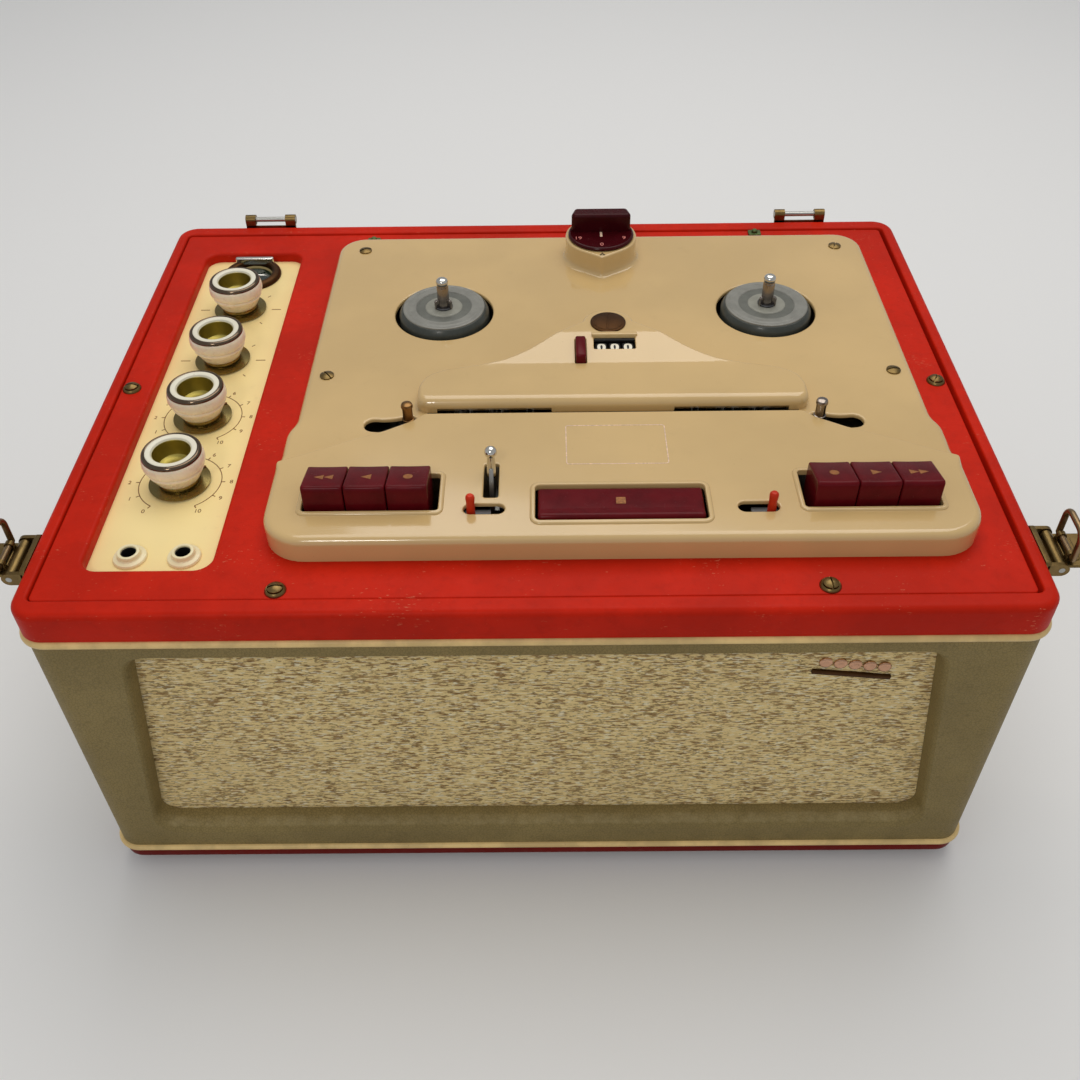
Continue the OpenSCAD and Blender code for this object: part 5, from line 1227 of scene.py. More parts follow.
def build_head_cover():
    """The head cover: a bullnosed front, waved back and round lobe, with the counter's window
    under a bezel; a black visor and lining keep the wheels' well dark."""
    loop = both_sides(np.concatenate([HEAD_SIDE, arc(0, LOBE_Y, HEAD_LOBE, 12, 90, 10)]))
    radii = np.where(loop[:, 1] < 101, 5.8, np.where(np.abs(loop[:, 0]) > 29, 14.0, 3.0))
    loop = fillet(loop, radii * (np.hypot(loop[:, 0], loop[:, 1] - LOBE_Y) > HEAD_LOBE + 0.1), 5)
    steps = [s * x for s in (-1, 1) for x in (30.95, 31.05, 88.95, 89.05)]
    loop = with_points(denser(loop), steps, HEAD_SIDE[0][1])
    ease = np.clip(1 - (loop[:, 1] - 99) / 12, 0.5, 1)
    window = box_plan(-8.2, 13.8, 139.3, 147.8, 0.6, 2)
    reset = box_plan(-18.25, -12.35, 129.15, 146.65, 0.6, 2)
    holes = [window, reset, ring(0, LOBE_Y, SCREW_BORE, 20)]
    # Points on the top, close together at the crease, let it bend there
    gx, gy = np.meshgrid(np.arange(-96, 97, 6.0),
                         [112.0, 124, 129.2, 129.8, 133, 138, 144, 150, 151.5, 156, 164])
    extra = np.stack([gx.ravel(), gy.ravel()], 1)
    extra = extra[inside(extra, [inset(loop, 5.2 * ease)])]
    for hole in holes:
        extra = extra[~inside(extra, [inset(hole, -1.5)])]
    edge = [(0, 14.3), (0, 16), (0.15, 16.35), (0.4, HEAD_TOP), (0.6, HEAD_TOP)]
    shell = shell_rows(PLATE_TOP, HEAD_TOP, SKIN, 4.6, 9)
    p = Piece("Head_cover", "cabinet", "cream_deck", "head_cover")
    p.add(on_deck(slab(loop, shell, holes, edge, ease=ease, extra=extra, warp=head_warp)), "cream_deck")
    bezel = fillet([(-9.4, 147.6), (15, 147.6), (15, 150.6), (-9.4, 150.6)], 1.0, 3)
    p.add(on_deck(slab(bezel, rows(18.6, 22.0, 0.7, 0, 3, 0.1))), "cream_deck")
    # Painted shade: this black plate hides the wheels' tops, standing in for the shadow at the back of the
    # well
    visor = box_plan(-7.9, 13.5, 145.7, 147.6, 0.4, 2)
    p.add(on_deck(slab(visor, rows(18.55, 19.6, 0.2, 0, 2, 0.05))), "black")
    lining, well = box_plan(-9.2, 14.8, 138.2, 148.8, 0.6, 2), box_plan(-8.1, 13.7, 139.4, 147.7, 0.2, 1)
    deep = [(0, 11), (0, 16.3)]
    p.add(on_deck(slab(lining, deep, [well], deep)), "black")
    return p.make(24)


WHEEL = [(1.05, -3.1), (7.1, -3.1), (7.7, -2.9), (WHEEL_R, -2.4), (WHEEL_R, 2.4), (7.7, 2.9), (7.1, 3.1),
         (1.05, 3.1)]
WHEEL_AXLE = [(0, -10.9), (1, -10.9), (1, 10.9), (0, 10.9)]


def round_wheel(v):
    """Wraps a figure's height round the wheel: angle is height over radius."""
    a, r = v[:, 1] / WHEEL_R, WHEEL_R + v[:, 2]
    return np.stack([v[:, 0], r * np.sin(a), r * np.cos(a)], 1)


def add_wheel(p, place):
    """Adds a black wheel with a pale figure; its place is counted from the middle wheel."""
    x, y, z = COUNTER
    x += WHEEL_PITCH * place
    p.add(on_deck(turn(turned(WHEEL, 48), "y", 90), x, y, z), "black")
    p.add(on_deck(turn(printed("0", 8.2, 0.1, round_wheel, 0.4), "x", 8), x, y, z), "counter_white")


def build_counter():
    """Three counter wheels on their axle, with figures bent round the rims, and the reset button."""
    p = Piece("Counter_units", "counter_units", "counter_white", "counter_units")
    add_wheel(p, 1)
    p.make(30)
    p = Piece("Counter_carry", "cabinet", "counter_white", "counter_carry")
    add_wheel(p, -1)
    add_wheel(p, 0)
    p.add(on_deck(turn(turned(WHEEL_AXLE, 20), "y", 90), *COUNTER), "steel")
    p.make(30)
    p = Piece("Reset_button", "reset_button", "burgundy", "reset_button")
    side = fillet([(129.4, 10), (146.4, 10), (146.4, 22.5), (129.4, 21.3)], [0, 0, 1.3, 1.7], 5)
    ends = [(1.0, -2.7), (0.3, -2.45), (0, -2.0), (0, 2.0), (0.3, 2.45), (1.0, 2.7)]
    p.add(on_deck(slab(side, ends, plane="side"), RESET_X), "burgundy")
    p.make(40)


SELECTOR_DISC = [(0, 21.8), (18.9, 21.8), (19.5, 22.2), (19.5, 23.0), (19.0, 23.7), (18.2, 23.9),
                 (17.5, 23.6), (17.0, 23.55), (0, 23.6)]
SELECTOR_SHAFT = [(0, -4), (3, -4), (3, 22), (0, 22)]
HOUSING_FOOT = [(-2.8, 9.02), (-1.9, 9.25), (-1.2, 9.8), (-0.7, 10.7), (-0.4, 12), (-0.2, 14), (0, 16.5)]


def build_speed_housing():
    """The selector's housing: a teardrop that flares at its foot, with an outlined mark."""
    drop = np.concatenate([arc(0, POD_Y, 21.2, -55.82, 235.82, 72),
                           arc(0, POD_Y - 22, 3, 235.82, 304.18, 8)])
    flare = np.clip((POD_Y + 10 - drop[:, 1]) / 18, 0.12, 1)
    low, high = HOUSING_FOOT[0][1], 21.6
    side, bore = HOUSING_FOOT + rows(16.5, high, 1.2, 0, 6)[1:], ring(0, POD_Y, SELECTOR_BORE, 20)
    p = Piece("Speed_housing", "cabinet", "cream_deck", "speed_housing")
    p.add(on_deck(slab(drop, side, [bore], [(0, low), (0, high)], ease=flare)), "cream_deck")
    mark = np.array([(-1.8, POD_Y - 23.3), (1.8, POD_Y - 23.3), (0, POD_Y - 20.2)])
    p.add(on_deck(slab(mark, [(0, 21.5), (0, 21.7)], [inset(mark, 0.55)])), "black_ink")
    p.make(40)


def build_selector():
    """The speed selector: a turned disc with a straight grip on it, a pale stroke and figures."""
    p = Piece("Speed_selector", "speed_selector", "burgundy", "speed_selector")
    p.add(on_deck(turned(SELECTOR_DISC, 96), 0, POD_Y), "wine")
    grip = fillet([(-18.4, 1), (18.4, 1), (15.6, 10.5), (-15.6, 10.5)], 2.5, 8)
    p.add(on_deck(slab(grip, [(0, 23.3)] + rows(23.3, 34.4, 2.0, 0, 6, 0.1)[1:]), 0, POD_Y), "wine")
    p.add(on_deck(turned(SELECTOR_SHAFT, 24), 0, POD_Y), "steel")
    stroke = box_plan(-0.7, 0.7, -5.0, 0.4, 0.3, 2)
    p.add(on_deck(slab(stroke, [(0, 23.5), (0, 23.72)]), 0, POD_Y), "pale_ink")
    for x, y, figure in ((-13.4, -6.4, "19"), (13.4, -6.4, "9"), (0, -13.9, "0")):
        p.add(on_deck(move(printed(figure, 4.6, 0.2), x, y, 23.6), 0, POD_Y), "pink_ink")
    p.make(32)


# The spool turntable's turned parts, as a profile of (radius, height) and a look
SPOOL_PARTS = (
    # The first ring is the disc's outer wall and bevel, darkened as painted shade
    ([(0, 3), (22.4, 3), (25.4, 4), (25.4, 8.9), (25.1, 9.8), (24.2, 11.3), (23.5, 12.1), (22.8, 12.3),
      (0, 12.3)], "disc_rim_painted_shade"),
    ([(15.2, 9.9), (22.7, 9.9), (23.0, 12.3), (22.9, 12.8), (22.4, 13.1), (21.6, 13.15), (21.0, 12.9),
      (20.6, 12.9), (20.2, 13.1), (18.0, 13.0), (17.0, 12.8), (16.4, 13.0), (15.9, 12.95), (15.5, 12.6),
      (15.2, 11.9)], "disc_grey"),
    ([(10.2, 9.8), (15.6, 9.8), (15.6, 12.5), (15.2, 12.6), (10.2, 12.6)], "disc_groove"),
    ([(3.0, 9.8), (10.6, 9.8), (10.6, 12.5), (10.2, 12.95), (9.6, 13.1), (6, 12.9), (3.0, 12.9)],
     "disc_inner"),
    ([(0, -28.5), (5, -28.5), (5, 3.2), (0, 3.2)], "steel"),
    ([(5.05, -26.5), (23, -26.5), (23, -18.5), (5.05, -18.5)], "steel"),
    ([(0, 9.5), (3.3, 9.5), (3.3, 25.2), (3.1, 26.2), (2.9, 26.8), (3.0, 27.3), (3.3, 28.0), (3.4, 28.7)],
     "nickel"),
    ([(0, 27.4), (2.9, 27.4), (3.3, 28.0), (3.42, 28.8), (3.1, 29.8), (2.4, 30.5), (1.4, 30.9), (0, 31)],
     "chrome"),
    ([(3.2, 12.7), (5.0, 12.7), (5.0, 13.6), (4.6, 14.0), (3.2, 14.0)], "dark_steel"))
SPOOL_VANE = [(2.8, 12.8), (5.4, 12.8), (5.4, 17.6), (4.6, 18.4), (2.8, 18.4)]


def build_spools():
    """Spool turntables: a dark rim round turned rings in three greys, and a nickel spindle with a
    chrome tip and three vanes."""
    for s, side in ((-1, "left"), (1, "right")):
        name = "spool_" + side
        p = Piece(name.capitalize(), name, "grey_disc", name)
        for profile, look in SPOOL_PARTS:
            n = 96 if profile[-2][0] > 10 else 40
            p.add(on_deck(turned(profile, n), s * SPOOL_X, SPOOL_Y), look)
        ends = [(0.25, -0.8), (0, -0.55), (0, 0.55), (0.25, 0.8)]
        vane = slab(fillet(SPOOL_VANE, [0, 0.5, 1.2, 0.6, 0], 3), ends, plane="front")
        for angle in (90, 210, 330):
            p.add(on_deck(turn(vane, "z", angle), s * SPOOL_X, SPOOL_Y), "nickel")
        p.make(30)


# The height above which a key's outline is its dished top
DISHED_ABOVE = 18


def key_shape(width, profile, radii, edge, dish):
    """A key: its side outline in (y, z) carried across x, drawn in at both ends; its top is
    dished by dish times one minus the square of the place across."""
    half = width / 2
    a = np.radians(np.linspace(0, 90, 5))
    ends = list(zip(edge * (1 - np.sin(a)), -half + edge * (1 - np.cos(a))))
    mid = [(0, x) for x in np.linspace(-half + edge, half - edge, 9)[1:-1]]
    levels = [(edge + 0.2, -half)] + ends + mid + [(g, -x) for g, x in ends[::-1]] + [(edge + 0.2, half)]

    def dished(v):
        """Lowers the top's middle and leaves everything below the top as it is."""
        v = v.copy()
        across = np.clip(1 - (v[:, 2] / (half - edge)) ** 2, 0, 1)
        v[:, 1] -= dish * across * np.clip(v[:, 1] - DISHED_ABOVE, 0, 1)
        return v

    return slab(fillet(profile, radii, 5), levels, plane="side", warp=dished)


def bored(outline, y, z, half):
    """A flat lever: a side outline carried from -half to half, with a pivot's bore at (y, z)."""
    outline, bore = np.array(outline), ring(y, z, 1.55, 20)
    return loft([(outline, -half), (outline, half)], [[(bore, -half), (bore, half)]], plane="side")


def arrow(x, size, s=1):
    """A triangle that points along x."""
    half = size / 2
    return np.array([(x - s * half, -half), (x + s * half, 0), (x - s * half, half)])[::s]


# Each key: its name, its place across and its symbol
KEYS = (("key_left_1", -135.6, [arrow(-2.4, 4.2, -1), arrow(2.0, 4.2, -1)]),
        ("key_left_2", -116.4, [arrow(0, 4.6, -1)]),
        ("key_left_3", -97.2, [ring(0, 0, 2.2, 24)]),
        ("key_right_1", 97.2, [ring(0, 0, 2.2, 24)]),
        ("key_right_2", 116.4, [arrow(0, 4.6)]),
        ("key_right_3", 135.6, [arrow(-2.0, 4.2), arrow(2.4, 4.2)]))
KEY_SIDE = [(20.8, -3), (42.8, -3), (42.8, 20.4), (21.2, 25.9)]
KEY_LEVER = [(41.8, -3), (77, -2.5), (77, 2.5), (74, 3.5), (41.8, 3)]
KEY_SLOPE, KEY_DISH, KEY_MARK_Y = -5.5 / 21.6, 0.2, 31.5
STOP_SIDE = [(13.2, -2), (34.2, -2), (34.2, 13.2), (19, 13.4), (13.3, 14.5)]
STOP_ARM = [(33.2, -2), (74, -3), (77, -2), (77, 2), (74, 3), (33.2, 3)]


def on_key(mark):
    """A symbol laid on a key's dished and sloping top."""
    v, quads, tris = slab(mark, [(0, -0.25), (0, 0.06)])
    y, z = KEY_SIDE[3]
    top = z + (KEY_MARK_Y - y) * KEY_SLOPE - KEY_DISH + KEY_DISH * (v[:, 0] / 8.3) ** 2
    return np.stack([v[:, 0], KEY_MARK_Y + v[:, 1], top + v[:, 1] * KEY_SLOPE + v[:, 2]], 1), quads, tris


def build_keys():
    """Six keys with plain tape symbols, each on its lever."""
    for name, x, marks in KEYS:
        p = Piece(name.capitalize(), name, "burgundy", name)
        p.add(on_deck(key_shape(18.8, KEY_SIDE, [0, 0, 1.8, 1.7], 0.9, KEY_DISH), x), "burgundy")
        p.add(on_deck(bored(KEY_LEVER, KEY_PIVOT_Y, 0, 3.5), x), "steel")
        for mark in marks:
            p.add(on_deck(on_key(mark), x), "gold_ink")
        p.make(34)


def build_stop_bar():
    """The stop bar with a square on it, and its two arms."""
    p = Piece("Stop_bar", "stop_bar", "burgundy", "stop_bar")
    p.add(on_deck(key_shape(76, STOP_SIDE, [0, 0, 1.8, 6, 2.0], 1.4, 0.0)), "burgundy")
    square = slab(box_plan(-2.2, 2.2, -2.2, 2.2, 0.3, 2), [(0, -0.3), (0, 0.12)])
    square[0][:, 2] += 13.42 + np.clip(19 - STOP_MARK_Y - square[0][:, 1], 0, None) * 0.19
    p.add(on_deck(square, 0, STOP_MARK_Y), "gold_ink")
    for x in (-28, 28):
        p.add(on_deck(bored(STOP_ARM, KEY_PIVOT_Y, 0, 3), x), "steel")
    p.make(34)


PAUSE_BLADE = [(35, -7), (45, -7), (47.6, 17), (42.6, 17), (35, 2)]
TRICK_PIN = [(0, 8), (2.1, 8), (1.9, 15), (1.95, 17), (2.15, 19.4), (2.0, 20.4), (1.3, 21.2), (0, 21.4)]
GUIDE_HUB = [(2.05, 1), (5, 1), (5, 4), (2.05, 4)]
GUIDE_POST = [(0, 4), (2.65, 4), (2.65, 10.6), (3.1, 10.8), (3.1, 11.4), (2.65, 11.6), (2.5, 16),
              (2.65, 18.4), (3.0, 18.6), (3.0, 19.4), (2.6, 20.4), (1.6, 20.9), (0, 21)]


def build_levers():
    """The pause lever with its ball end, and the two small sliding levers."""
    p = Piece("Pause_lever", "pause_lever", "chrome", "pause_lever")
    p.add(on_deck(bored(PAUSE_BLADE, 40, -4, 1), PAUSE_X), "steel")
    path = [(0, 44.8, 12.5), (0, 45.2, 16), (0, 45.6, 20), (0, PAUSE_Y, 24)]
    p.add(on_deck(tube(path, [2.3, 2.1, 1.9, 1.8], 16), PAUSE_X), "chrome")
    p.add(on_deck(ball(3), PAUSE_X, PAUSE_Y, 25), "chrome")
    p.make(40)
    for s, side in ((-1, "left"), (1, "right")):
        name = "trick_lever_" + side
        p = Piece(name.capitalize(), name, "orange_plastic", name)
        p.add(on_deck(turned(TRICK_PIN, 32), s * TRICK_X, TRICK_Y), "orange")
        tongue = box_plan(-s * 2 - 7, -s * 2 + 7, -2.7, 2.7, 0.5, 2)
        p.add(on_deck(slab(tongue, [(0, 8.4), (0, 9.8)]), s * TRICK_X, TRICK_Y), "dark_steel")
        p.make(40)


def build_guide_posts():
    """Two guide posts, each turned and set on the end of its arm; the right one is mirrored."""
    arm = fillet([(0, -3), (GUIDE_ARM, -3), (GUIDE_ARM, 3), (0, 3)], [0, 2.9, 2.9, 0], 6)
    arm = slab(arm, [(0, 1), (0, 4)])
    post = move(turned(GUIDE_POST, 32), GUIDE_ARM)
    for side, metal_look in (("left", "bronze"), ("right", "nickel")):
        name = "guide_arm_" + side
        p = Piece(name.capitalize(), name, "bare_steel", name)
        for shape, look in ((arm, "steel"), (turned(GUIDE_HUB, 32), "steel"), (post, metal_look)):
            shape = move(turn(shape, "z", GUIDE_REST), GUIDE_X, GUIDE_Y)
            p.add(on_deck(shape if side == "left" else mirror(shape)), look)
        p.make(30)


CUP_WASHER = [(1.8, -12), (1.8, 0), (4.9, 0), (4.85, 0.35), (4.4, 1.1), (3.9, 1.55), (3.7, 1.5),
              (3.5, 1.1), (0, 0.9), (0, -12)]
DECK_SHANK = [(0, -5), (1.9, -5), (1.9, 9.1), (0, 9.1)]
COIN_HEAD = [(0, 20.9), (9.2, 20.9), (9.5, 21.2), (9.5, 21.7), (9.0, 22.0), (8.2, 22.1), (0, 22.1)]
COIN_SHANK = [(0, -7.8), (2.4, -7.8), (2.4, 21), (0, 21)]


def build_screws():
    """Board screws in cup washers, deck screws, and the head cover's coin-slot screw."""
    p = Piece("Fixing_screws", "cabinet", "aged_brass", "fixing_screws")
    for (x, y), angle in zip(BOARD_SCREWS, (8, 95, 0, 60)):
        p.add(move(turned(CUP_WASHER, 48), x, y, BOARD_TOP), "aged_brass")
        p.add(move(slotted(3.45, 1.3, 0.8, 1.3, 1.2, 0.9, angle), x, y, BOARD_TOP), "aged_brass")
    for (x, y), angle in zip(DECK_SCREWS, (20, 70, 130, 5)):
        p.add(on_deck(slotted(3.7, 0.7, 0.8, 0.9, 0.9, PLATE_TOP, angle), x, y), "aged_brass")
        p.add(on_deck(turned(DECK_SHANK, 20), x, y), "aged_brass")
    p.make(30)
    p = Piece("Cover_screw", "cabinet", "bronze_screw", "cover_screw")
    p.add(on_deck(turned(COIN_HEAD, 56), 0, LOBE_Y), "dark_bronze")
    p.add(on_deck(slotted(8.1, 0.25, 1.3, 0.5, 0.75, 22.0, 84), 0, LOBE_Y), "dark_bronze")
    p.add(on_deck(turned(COIN_SHANK, 24), 0, LOBE_Y), "bronze")
    p.make(30)


def latch_at(shape, s):
    """Puts a shape at the right latch, or mirrors it to the left one for s = -1."""
    shape = move(shape, *LATCH)
    return shape if s > 0 else mirror(shape)


def turned_y(profile, n):
    """A turned shape with its axis along y."""
    return turn(turned(profile, n), "x", 90)


def build_latch_plates():
    """The latches' base plates, each with two ears, a pin through them and two rivets."""
    p = Piece("Latch_plates", "cabinet", "aged_brass", "latch_plates")
    plate = slab(box_plan(-13, 13, -10.5, 4.5, 1.5, 4), rows(-1.1, 1.5, 0.5, 0, 3), plane="side")
    ear = np.concatenate([arc(LATCH_PIN_X, 0, 3.4, -90, 90, 12), [[0, 3.4], [0, -3.4]]])
    hole = ring(LATCH_PIN_X, 0, 1.45, 20)
    pin = turned_y([(0, -13), (1.4, -13), (1.4, 13), (0, 13)], 20)
    rivet = turn(slotted(2.1, 0.2, 0.6, 0.5, 0.5, 0.0, 30), "y", 90)
    for s in (-1, 1):
        p.add(latch_at(plate, s), "aged_brass")
        for y in (-12, 12):
            sides = (y - 1, y + 1)
            q = loft([(ear, d) for d in sides], [[(hole, d) for d in sides]], plane="front")
            p.add(latch_at(outward(q), s), "aged_brass")
        p.add(latch_at(move(pin, LATCH_PIN_X, 0, 0), s), "steel")
        for y in (-9.5, 9.5):
            p.add(latch_at(move(rivet, 1.5, y, -7.4), s), "aged_brass")
    p.make(32)


def curl(v):
    """The lever's tip turns down: z falls by 0.045 times the square of the way past x = 24."""
    v = v.copy()
    v[:, 2] -= 0.045 * np.clip(v[:, 0] - 24, 0, None) ** 2
    return v


def build_latch_lever(s, side):
    """A latch lever: a hub, a blade with a curled tip, a rib and two eyes for the loop."""
    name = "latch_lever_" + side
    p = Piece(name.capitalize(), name, "aged_brass", name)
    hub = turned_y([(1.45, -10.7), (2.8, -10.7), (2.8, 10.7), (1.45, 10.7)], 28)
    p.add(latch_at(move(hub, LATCH_PIN_X, 0, 0), s), "aged_brass")
    blade = np.concatenate([[(7.5, -10.7)], arc(22.3, 0, 10.7, -90, 90, 20), [(7.5, 10.7)]])
    gx, gy = np.meshgrid(np.arange(9.5, 33, 1.5), np.arange(-9, 9.1, 3.0))
    extra = np.stack([gx.ravel(), gy.ravel()], 1)
    extra = extra[inside(extra, [inset(blade, 1.0)])]
    blade = slab(denser(blade), rows(-0.8, 0.8, 0.5, 0.4, 3, 0.1), extra=extra, warp=curl)
    p.add(latch_at(blade, s), "aged_brass")
    rib = fillet([(10, -7.4), (17, -7.4), (17, 7.4), (10, 7.4)], 1.5, 4)
    p.add(latch_at(slab(rib, rows(0.5, 1.3, 0.5, 0, 3)), s), "aged_brass")
    eye = turned_y([(1.55, -1.2), (2.2, -1.2), (2.2, 1.2), (1.55, 1.2)], 24)
    sole = np.array([(-2.2, 0.6), (2.2, 0.6), (2.2, 2.2), (-2.2, 2.2)])
    foot = outward(slab(sole, [(0, -1.2), (0, 1.2)], plane="front"))
    for y in (-6.3, 6.3):
        p.add(latch_at(move(eye, LOOP_X, y, LOOP_Z), s), "aged_brass")
        p.add(latch_at(move(foot, LOOP_X, y, 0), s), "aged_brass")
    p.make(34)


def build_latch_loop(s, side):
    """A wire loop: a straight bar, and an arch over it with rounded corners."""
    half = 9.2
    p = Piece("Latch_loop_" + side, "latch_bail_" + side, "chrome", "latch_bail_" + side)
    legs = np.stack([np.full(6, half), np.linspace(1, 9.4, 6)], 1)
    up = np.concatenate([[(-half, 0.01)], legs * (-1, 1), arc(-4.2, 10, 5, 180, 90, 8),
                         arc(4.2, 10, 5, 90, 0, 8), legs[::-1], [(half, 0.01)]])
    path = np.stack([np.full(len(up), LOOP_X), up[:, 0], LOOP_Z + up[:, 1]], 1)
    p.add(latch_at(tube(path, 1.5, 18), s), "loop_metal")
    bar = np.stack([np.full(9, LOOP_X), np.linspace(-half, half, 9), np.full(9, LOOP_Z)], 1)
    p.add(latch_at(tube(bar, 1.48, 18), s), "loop_metal")
    p.make(40)


def build_latches():
    """Both side latches: the plates, and for each side its lever and its wire loop."""
    build_latch_plates()
    for s, side in ((-1, "left"), (1, "right")):
        build_latch_lever(s, side)
        build_latch_loop(s, side)


KNUCKLE = [(1.62, -3.2), (3, -3.2), (3, 3.2), (1.62, 3.2)]
KNUCKLE_WEB = [(168.5, 200.2), (170.0, 200.2), (170.2, 203.0), (170.6, 203.6), (168.9, HINGE_Z),
               (168.5, HINGE_Z)]
HINGE_PIN = [(0, -16), (1.3, -16), (1.6, -15.7), (1.6, 15.7), (1.3, 16), (0, 16)]


def build_hinges():
    """Two hinge halves at the back: a leaf, two knuckles round a pin, three countersunk screws."""
    p = Piece("Rear_hinges", "cabinet", "aged_brass", "rear_hinges")
    for x in (-HINGE_X, HINGE_X):
        leaf = box_plan(x - 16, x + 16, 188.2, 202.2, 1.2, 4)
        p.add(slab(leaf, [(0.5, -170.0), (0.3, -169.9), (0, -168.5)], plane="front"), "aged_brass")
        for dx in (-12.8, 12.8):
            p.add(move(turn(turned(KNUCKLE, 32), "y", 90), x + dx, HINGE_Y, HINGE_Z), "aged_brass")
            web = slab(np.array(KNUCKLE_WEB), [(0, -3.2), (0, 3.2)], plane="side")
            p.add(move(web, x + dx), "aged_brass")
        p.add(move(turn(turned(HINGE_PIN, 24), "y", 90), x, HINGE_Y, HINGE_Z), "steel")
        for dx in (-11, 0, 11):
            head = turn(slotted(2.6, 0.15, 0.7, 0.45, 0.35, 0.0, 35 + 40 * dx), "x", -90)
            p.add(move(head, x + dx, 169.9, 194.5), "aged_brass")
    p.make(32)


FOOT = [(0, 0), (9.4, 0), (10.2, 0.8), (11, 6.6), (11, 7), (0, 7)]
GLAND = [(3.7, -10.5), (8, -10.5), (8, 0), (11, 0), (10.8, 0.9), (9.6, 2.1), (5, 2.2), (4.2, 2.0),
         (3.7, 1.4)]
BADGE_STUD = [(0, 0), (3.1, 0), (3.1, 0.8), (2.7, 1.2), (2.0, 1.35), (1.4, 1.2), (0, 1.15)]
CLIP_STUD = [(0, 1), (1.8, 1), (1.8, 2.4), (1.2, 3), (0, 3.1)]


def build_feet():
    """Four rubber feet."""
    p = Piece("Rubber_feet", "cabinet", "rubber", "rubber_feet")
    for x in (-FOOT_X, FOOT_X):
        for y in (MID_Y - FOOT_Y, MID_Y + FOOT_Y):
            p.add(move(turned(FOOT, 48), x, y), "rubber")
    p.make(34)


def build_gland():
    """The mains lead's rubber gland in the back wall."""
    p = Piece("Mains_gland", "cabinet", "rubber", "mains_gland")
    p.add(move(turn(turned(GLAND, 48), "x", -90), GLAND_X, BODY_BACK, GLAND_Z), "rubber")
    p.make(34)


def build_badge():
    """The plain flash on the grille: a bar with five round studs over it, turned by 7 degrees."""
    p = Piece("Grille_badge", "cabinet", "copper_trim", "grille_badge")
    bar = fillet([(-19, -8), (19, -8), (19, -5.4), (-19, -5.4)], 0.6, 3)
    parts = [(slab(bar, [(0, 0), (0, 1.0), (0.3, 1.4), (0.5, 1.5)], plane="front"), "dark_bronze")]
    parts += [(turn(move(turned(BADGE_STUD, 36), -14 + 7 * i), "x", 90), "copper") for i in range(5)]
    for shape, look in parts:
        p.add(move(turn(outward(shape), "y", 7), *BADGE), look)
    p.make(34)


def build_clips():
    """Two lid clips on the board behind the deck."""
    p = Piece("Lid_clips", "cabinet", "aged_brass")
    base = fillet([(-4, -3), (4, -3), (4, 3), (-4, 3)], 0.8, 3)
    for x, y in LID_CLIPS:
        p.add(move(slab(base, rows(0, 1.2, 0.4, 0, 3)), x, y, BOARD_TOP), "green_brass")
        p.add(move(turned(CLIP_STUD, 24), x, y, BOARD_TOP), "green_brass")
    p.make(34)


# The finishes of the solids inside, which keep the source's shape
HIDDEN = {"baffle_board": "wood", "speaker_frame": "dark_steel", "speaker_cone": "cone_paper",
          "potentiometers": "steel", "amp_chassis": "steel", "valves": "valve_glass",
          "mains_transformer": "winding", "capstan_left": "chrome", "capstan_right": "chrome",
          "pinch_arm_left": "rubber", "pinch_arm_right": "rubber", "tape_heads": "chrome",
          "motors": "dark_steel", "deck_chassis": "steel"}


def dress_inner_nodes():
    """The solids inside keep their shape and get a finish of their own."""
    for node, look in HIDDEN.items():
        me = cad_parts[node].data
        me.materials.clear()
        me.materials.append(finish(look))
        me.polygons.foreach_set("material_index", np.zeros(len(me.polygons), np.int32))


# Stage, in metres: the camera as it was solved from the photograph
CAMERA_PLACE, CAMERA_TILT = (0.0059, -0.5015, 0.5582), (46.37, 0.61, -0.11)
SENSOR, LENS, SHIFT_Y = 36, 37.6, -0.001
LAMP_TONE, ROOM_TONE = (1.0, 0.965, 0.91), (0.96, 0.98, 1.0, 1)


def link(name, data):
    """A new object of the scene that holds the data."""
    o = bpy.data.objects.new(name, data)
    bpy.context.scene.collection.objects.link(o)
    return o


def floor_look():
    """White paper, a little brighter where it is seen directly or in a reflection."""
    look = Look("floor_white")
    ray = look.node("ShaderNodeLightPath")
    glossy = look.node("ShaderNodeLightPath", out=3)
    tones = look.mix((ray + glossy).at_most(1.0), (0.62, 0.62, 0.62), (0.86, 0.86, 0.86))
    look.set(color=tones, rough=0.9, specular=0.1)
    return look.mat


def build_floor():
    """Floor and backdrop as one sweep: a level run, a bend along a quarter circle, and a wall."""
    bend = np.radians(np.linspace(8, 90, 12))
    y = np.concatenate([np.linspace(-3.5, 1.6, 6), 1.6 + 1.2 * np.sin(bend), [2.8]])
    z = np.concatenate([np.zeros(6), 1.2 - 1.2 * np.cos(bend), [4.5]])
    x = np.linspace(-4, 4, 5)
    yy, xx = np.meshgrid(y, x, indexing="ij")
    zz, _ = np.meshgrid(z, x, indexing="ij")
    me = bpy.data.meshes.new("Floor")
    me.from_pydata(np.stack([xx, yy, zz], -1).reshape(-1, 3).tolist(), [], grid_faces(*xx.shape).tolist())
    me.shade_smooth()
    me.materials.append(floor_look())
    floor = link("Floor", me)


def add_lamp(name, place, size, power, aim):
    """A square lamp at a place, turned to its aim."""
    lamp = bpy.data.lights.new(name, "AREA")
    lamp.size, lamp.energy, lamp.color = size, power, LAMP_TONE
    o = link(name, lamp)
    o.location = place
    o.rotation_euler = (Vector(aim) - Vector(place)).to_track_quat("-Z", "Y").to_euler()


def build_lights():
    """Even room light, a large soft lamp overhead and a weak one in front."""
    world = bpy.data.worlds.new("Room")
    bpy.context.scene.world = world
    world.use_nodes = True
    back = world.node_tree.nodes["Background"]
    back.inputs[0].default_value = ROOM_TONE
    back.inputs[1].default_value = conf().fill
    add_lamp("Overhead", (0.15, 0.55, 1.75), 1.5, conf().lamp, (0, 0, 0.15))
    add_lamp("Front_fill", (-0.5, -1.7, 1.75), 0.34, conf().lamp * 0.4, (0, 0, 0.12))


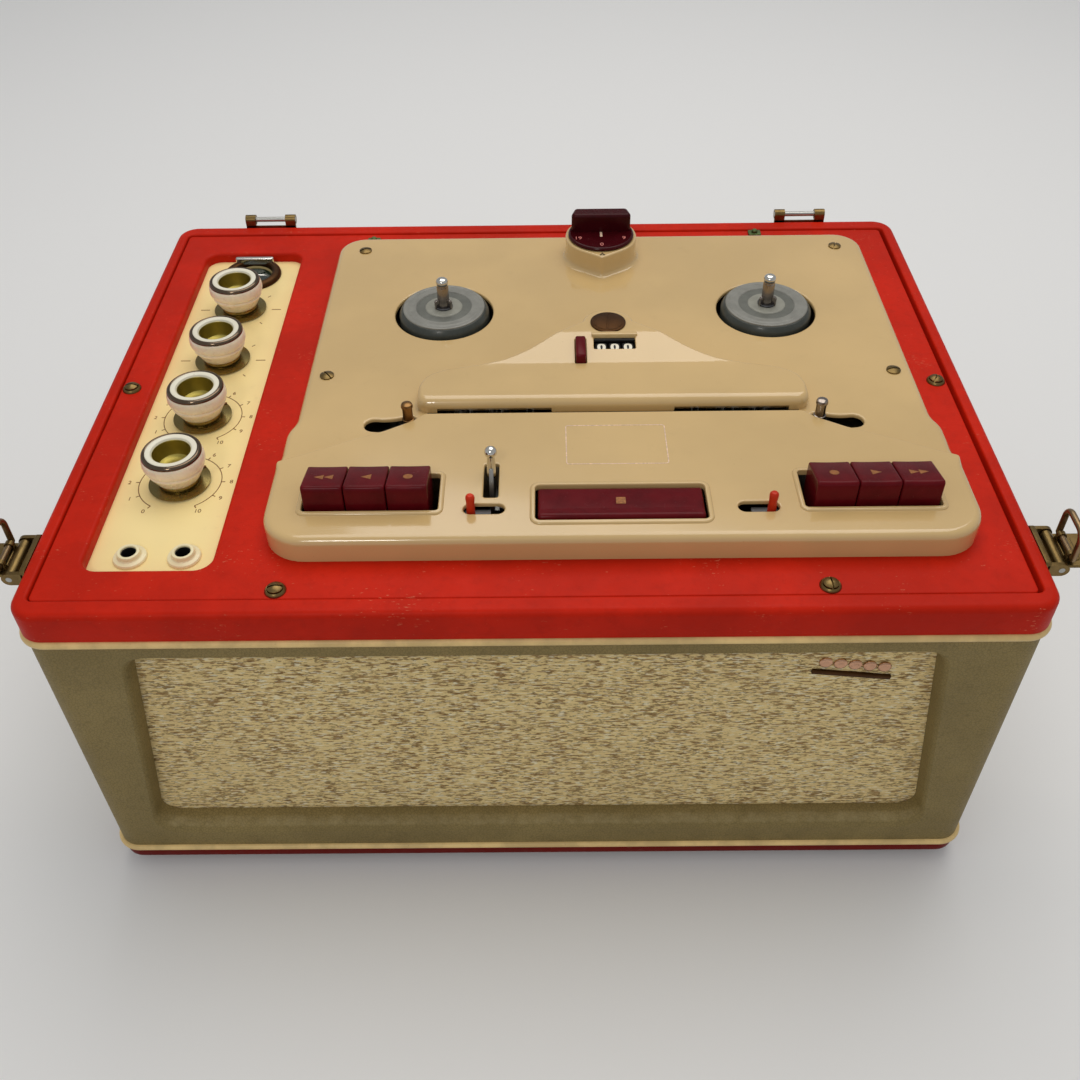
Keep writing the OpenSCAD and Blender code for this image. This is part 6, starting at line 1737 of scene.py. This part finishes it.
def build_camera():
    """The camera where the photograph was taken."""
    cam = bpy.data.cameras.new("Camera")
    cam.sensor_width, cam.lens, cam.shift_y = SENSOR, LENS, SHIFT_Y
    o = link("Camera", cam)
    o.location = CAMERA_PLACE
    o.rotation_euler = Euler([radians(a) for a in CAMERA_TILT])
    bpy.context.scene.camera = o
    bpy.context.scene.view_settings.view_transform = "Standard"


# Operators

def operator(idname, label, doc, *steps):
    """An operator class that runs the given building functions."""
    def execute(self, context):
        for step in steps:
            step()
        return {"FINISHED"}
    return type("RECORDER_OT_" + idname, (bpy.types.Operator,),
                {"bl_idname": "recorder." + idname, "bl_label": label, "__doc__": doc,
                 "execute": execute})


OPERATORS = (
    operator("cabinet", "Cabinet walls", "Builds the leathercloth walls and the grille opening",
             build_cabinet),
    operator("rims", "Rims, board and piping", "Builds the red rim, base and board and the piping",
             build_rim, build_base, build_board, build_piping),
    operator("cloth", "Grille cloth", "Builds the woven grille cloth", build_cloth),
    operator("panel", "Control panel", "Builds the cream panel and its printed scales", build_panel),
    operator("knobs", "Knobs", "Builds the four control knobs", build_knobs),
    operator("fittings", "Sockets and eye", "Builds the jack sockets and the tuning eye",
             build_jacks, build_tuning_eye),
    operator("deck", "Deck covers", "Builds the deck plate, front cover and head cover",
             build_deck_plate, build_front_cover, build_head_cover),
    operator("counter", "Counter", "Builds the counter wheels and the reset button", build_counter),
    operator("selector", "Speed selector", "Builds the selector and its housing",
             build_speed_housing, build_selector),
    operator("spools", "Spools", "Builds the two spool turntables", build_spools),
    operator("keys", "Keys", "Builds the six keys and the stop bar", build_keys, build_stop_bar),
    operator("levers", "Levers and posts", "Builds the pause lever, the sliding levers and the posts",
             build_levers, build_guide_posts),
    operator("screws", "Screws", "Builds all visible screws", build_screws),
    operator("latches", "Latches and hinges", "Builds the side latches and the rear hinges",
             build_latches, build_hinges),
    operator("small", "Small parts", "Builds the feet, gland, flash and lid clips",
             build_feet, build_gland, build_badge, build_clips),
    operator("inner", "Inner parts", "Gives the inner solids their finishes", dress_inner_nodes),
    operator("stage", "Stage", "Builds the floor, lamps and camera",
             build_floor, build_lights, build_camera),
)


class RECORDER_PT_panel(bpy.types.Panel):
    """The sidebar panel: every setting, then a button for each group of pieces."""
    bl_idname = "RECORDER_PT_panel"
    bl_label = "Tape recorder"
    bl_space_type = "VIEW_3D"
    bl_region_type = "UI"
    bl_category = "Tape recorder"

    def draw(self, context):
        for name in RecorderSettings.__annotations__:
            self.layout.prop(context.scene.tape_recorder, name)
        for op in OPERATORS:
            self.layout.operator(op.bl_idname)


def register():
    """Registers the settings, the operators and the panel."""
    for c in (RecorderSettings, *OPERATORS, RECORDER_PT_panel):
        bpy.utils.register_class(c)
    bpy.types.Scene.tape_recorder = bpy.props.PointerProperty(type=RecorderSettings)


def unregister():
    """Takes back what register has done, in reverse order."""
    del bpy.types.Scene.tape_recorder
    for c in (RECORDER_PT_panel, *OPERATORS[::-1], RecorderSettings):
        bpy.utils.unregister_class(c)


def main():
    """Builds every piece through its operator and writes both bounding boxes."""
    register()
    for op in OPERATORS:
        getattr(bpy.ops.recorder, op.bl_idname.split(".")[1])()


if __name__ == "__main__":
    main()
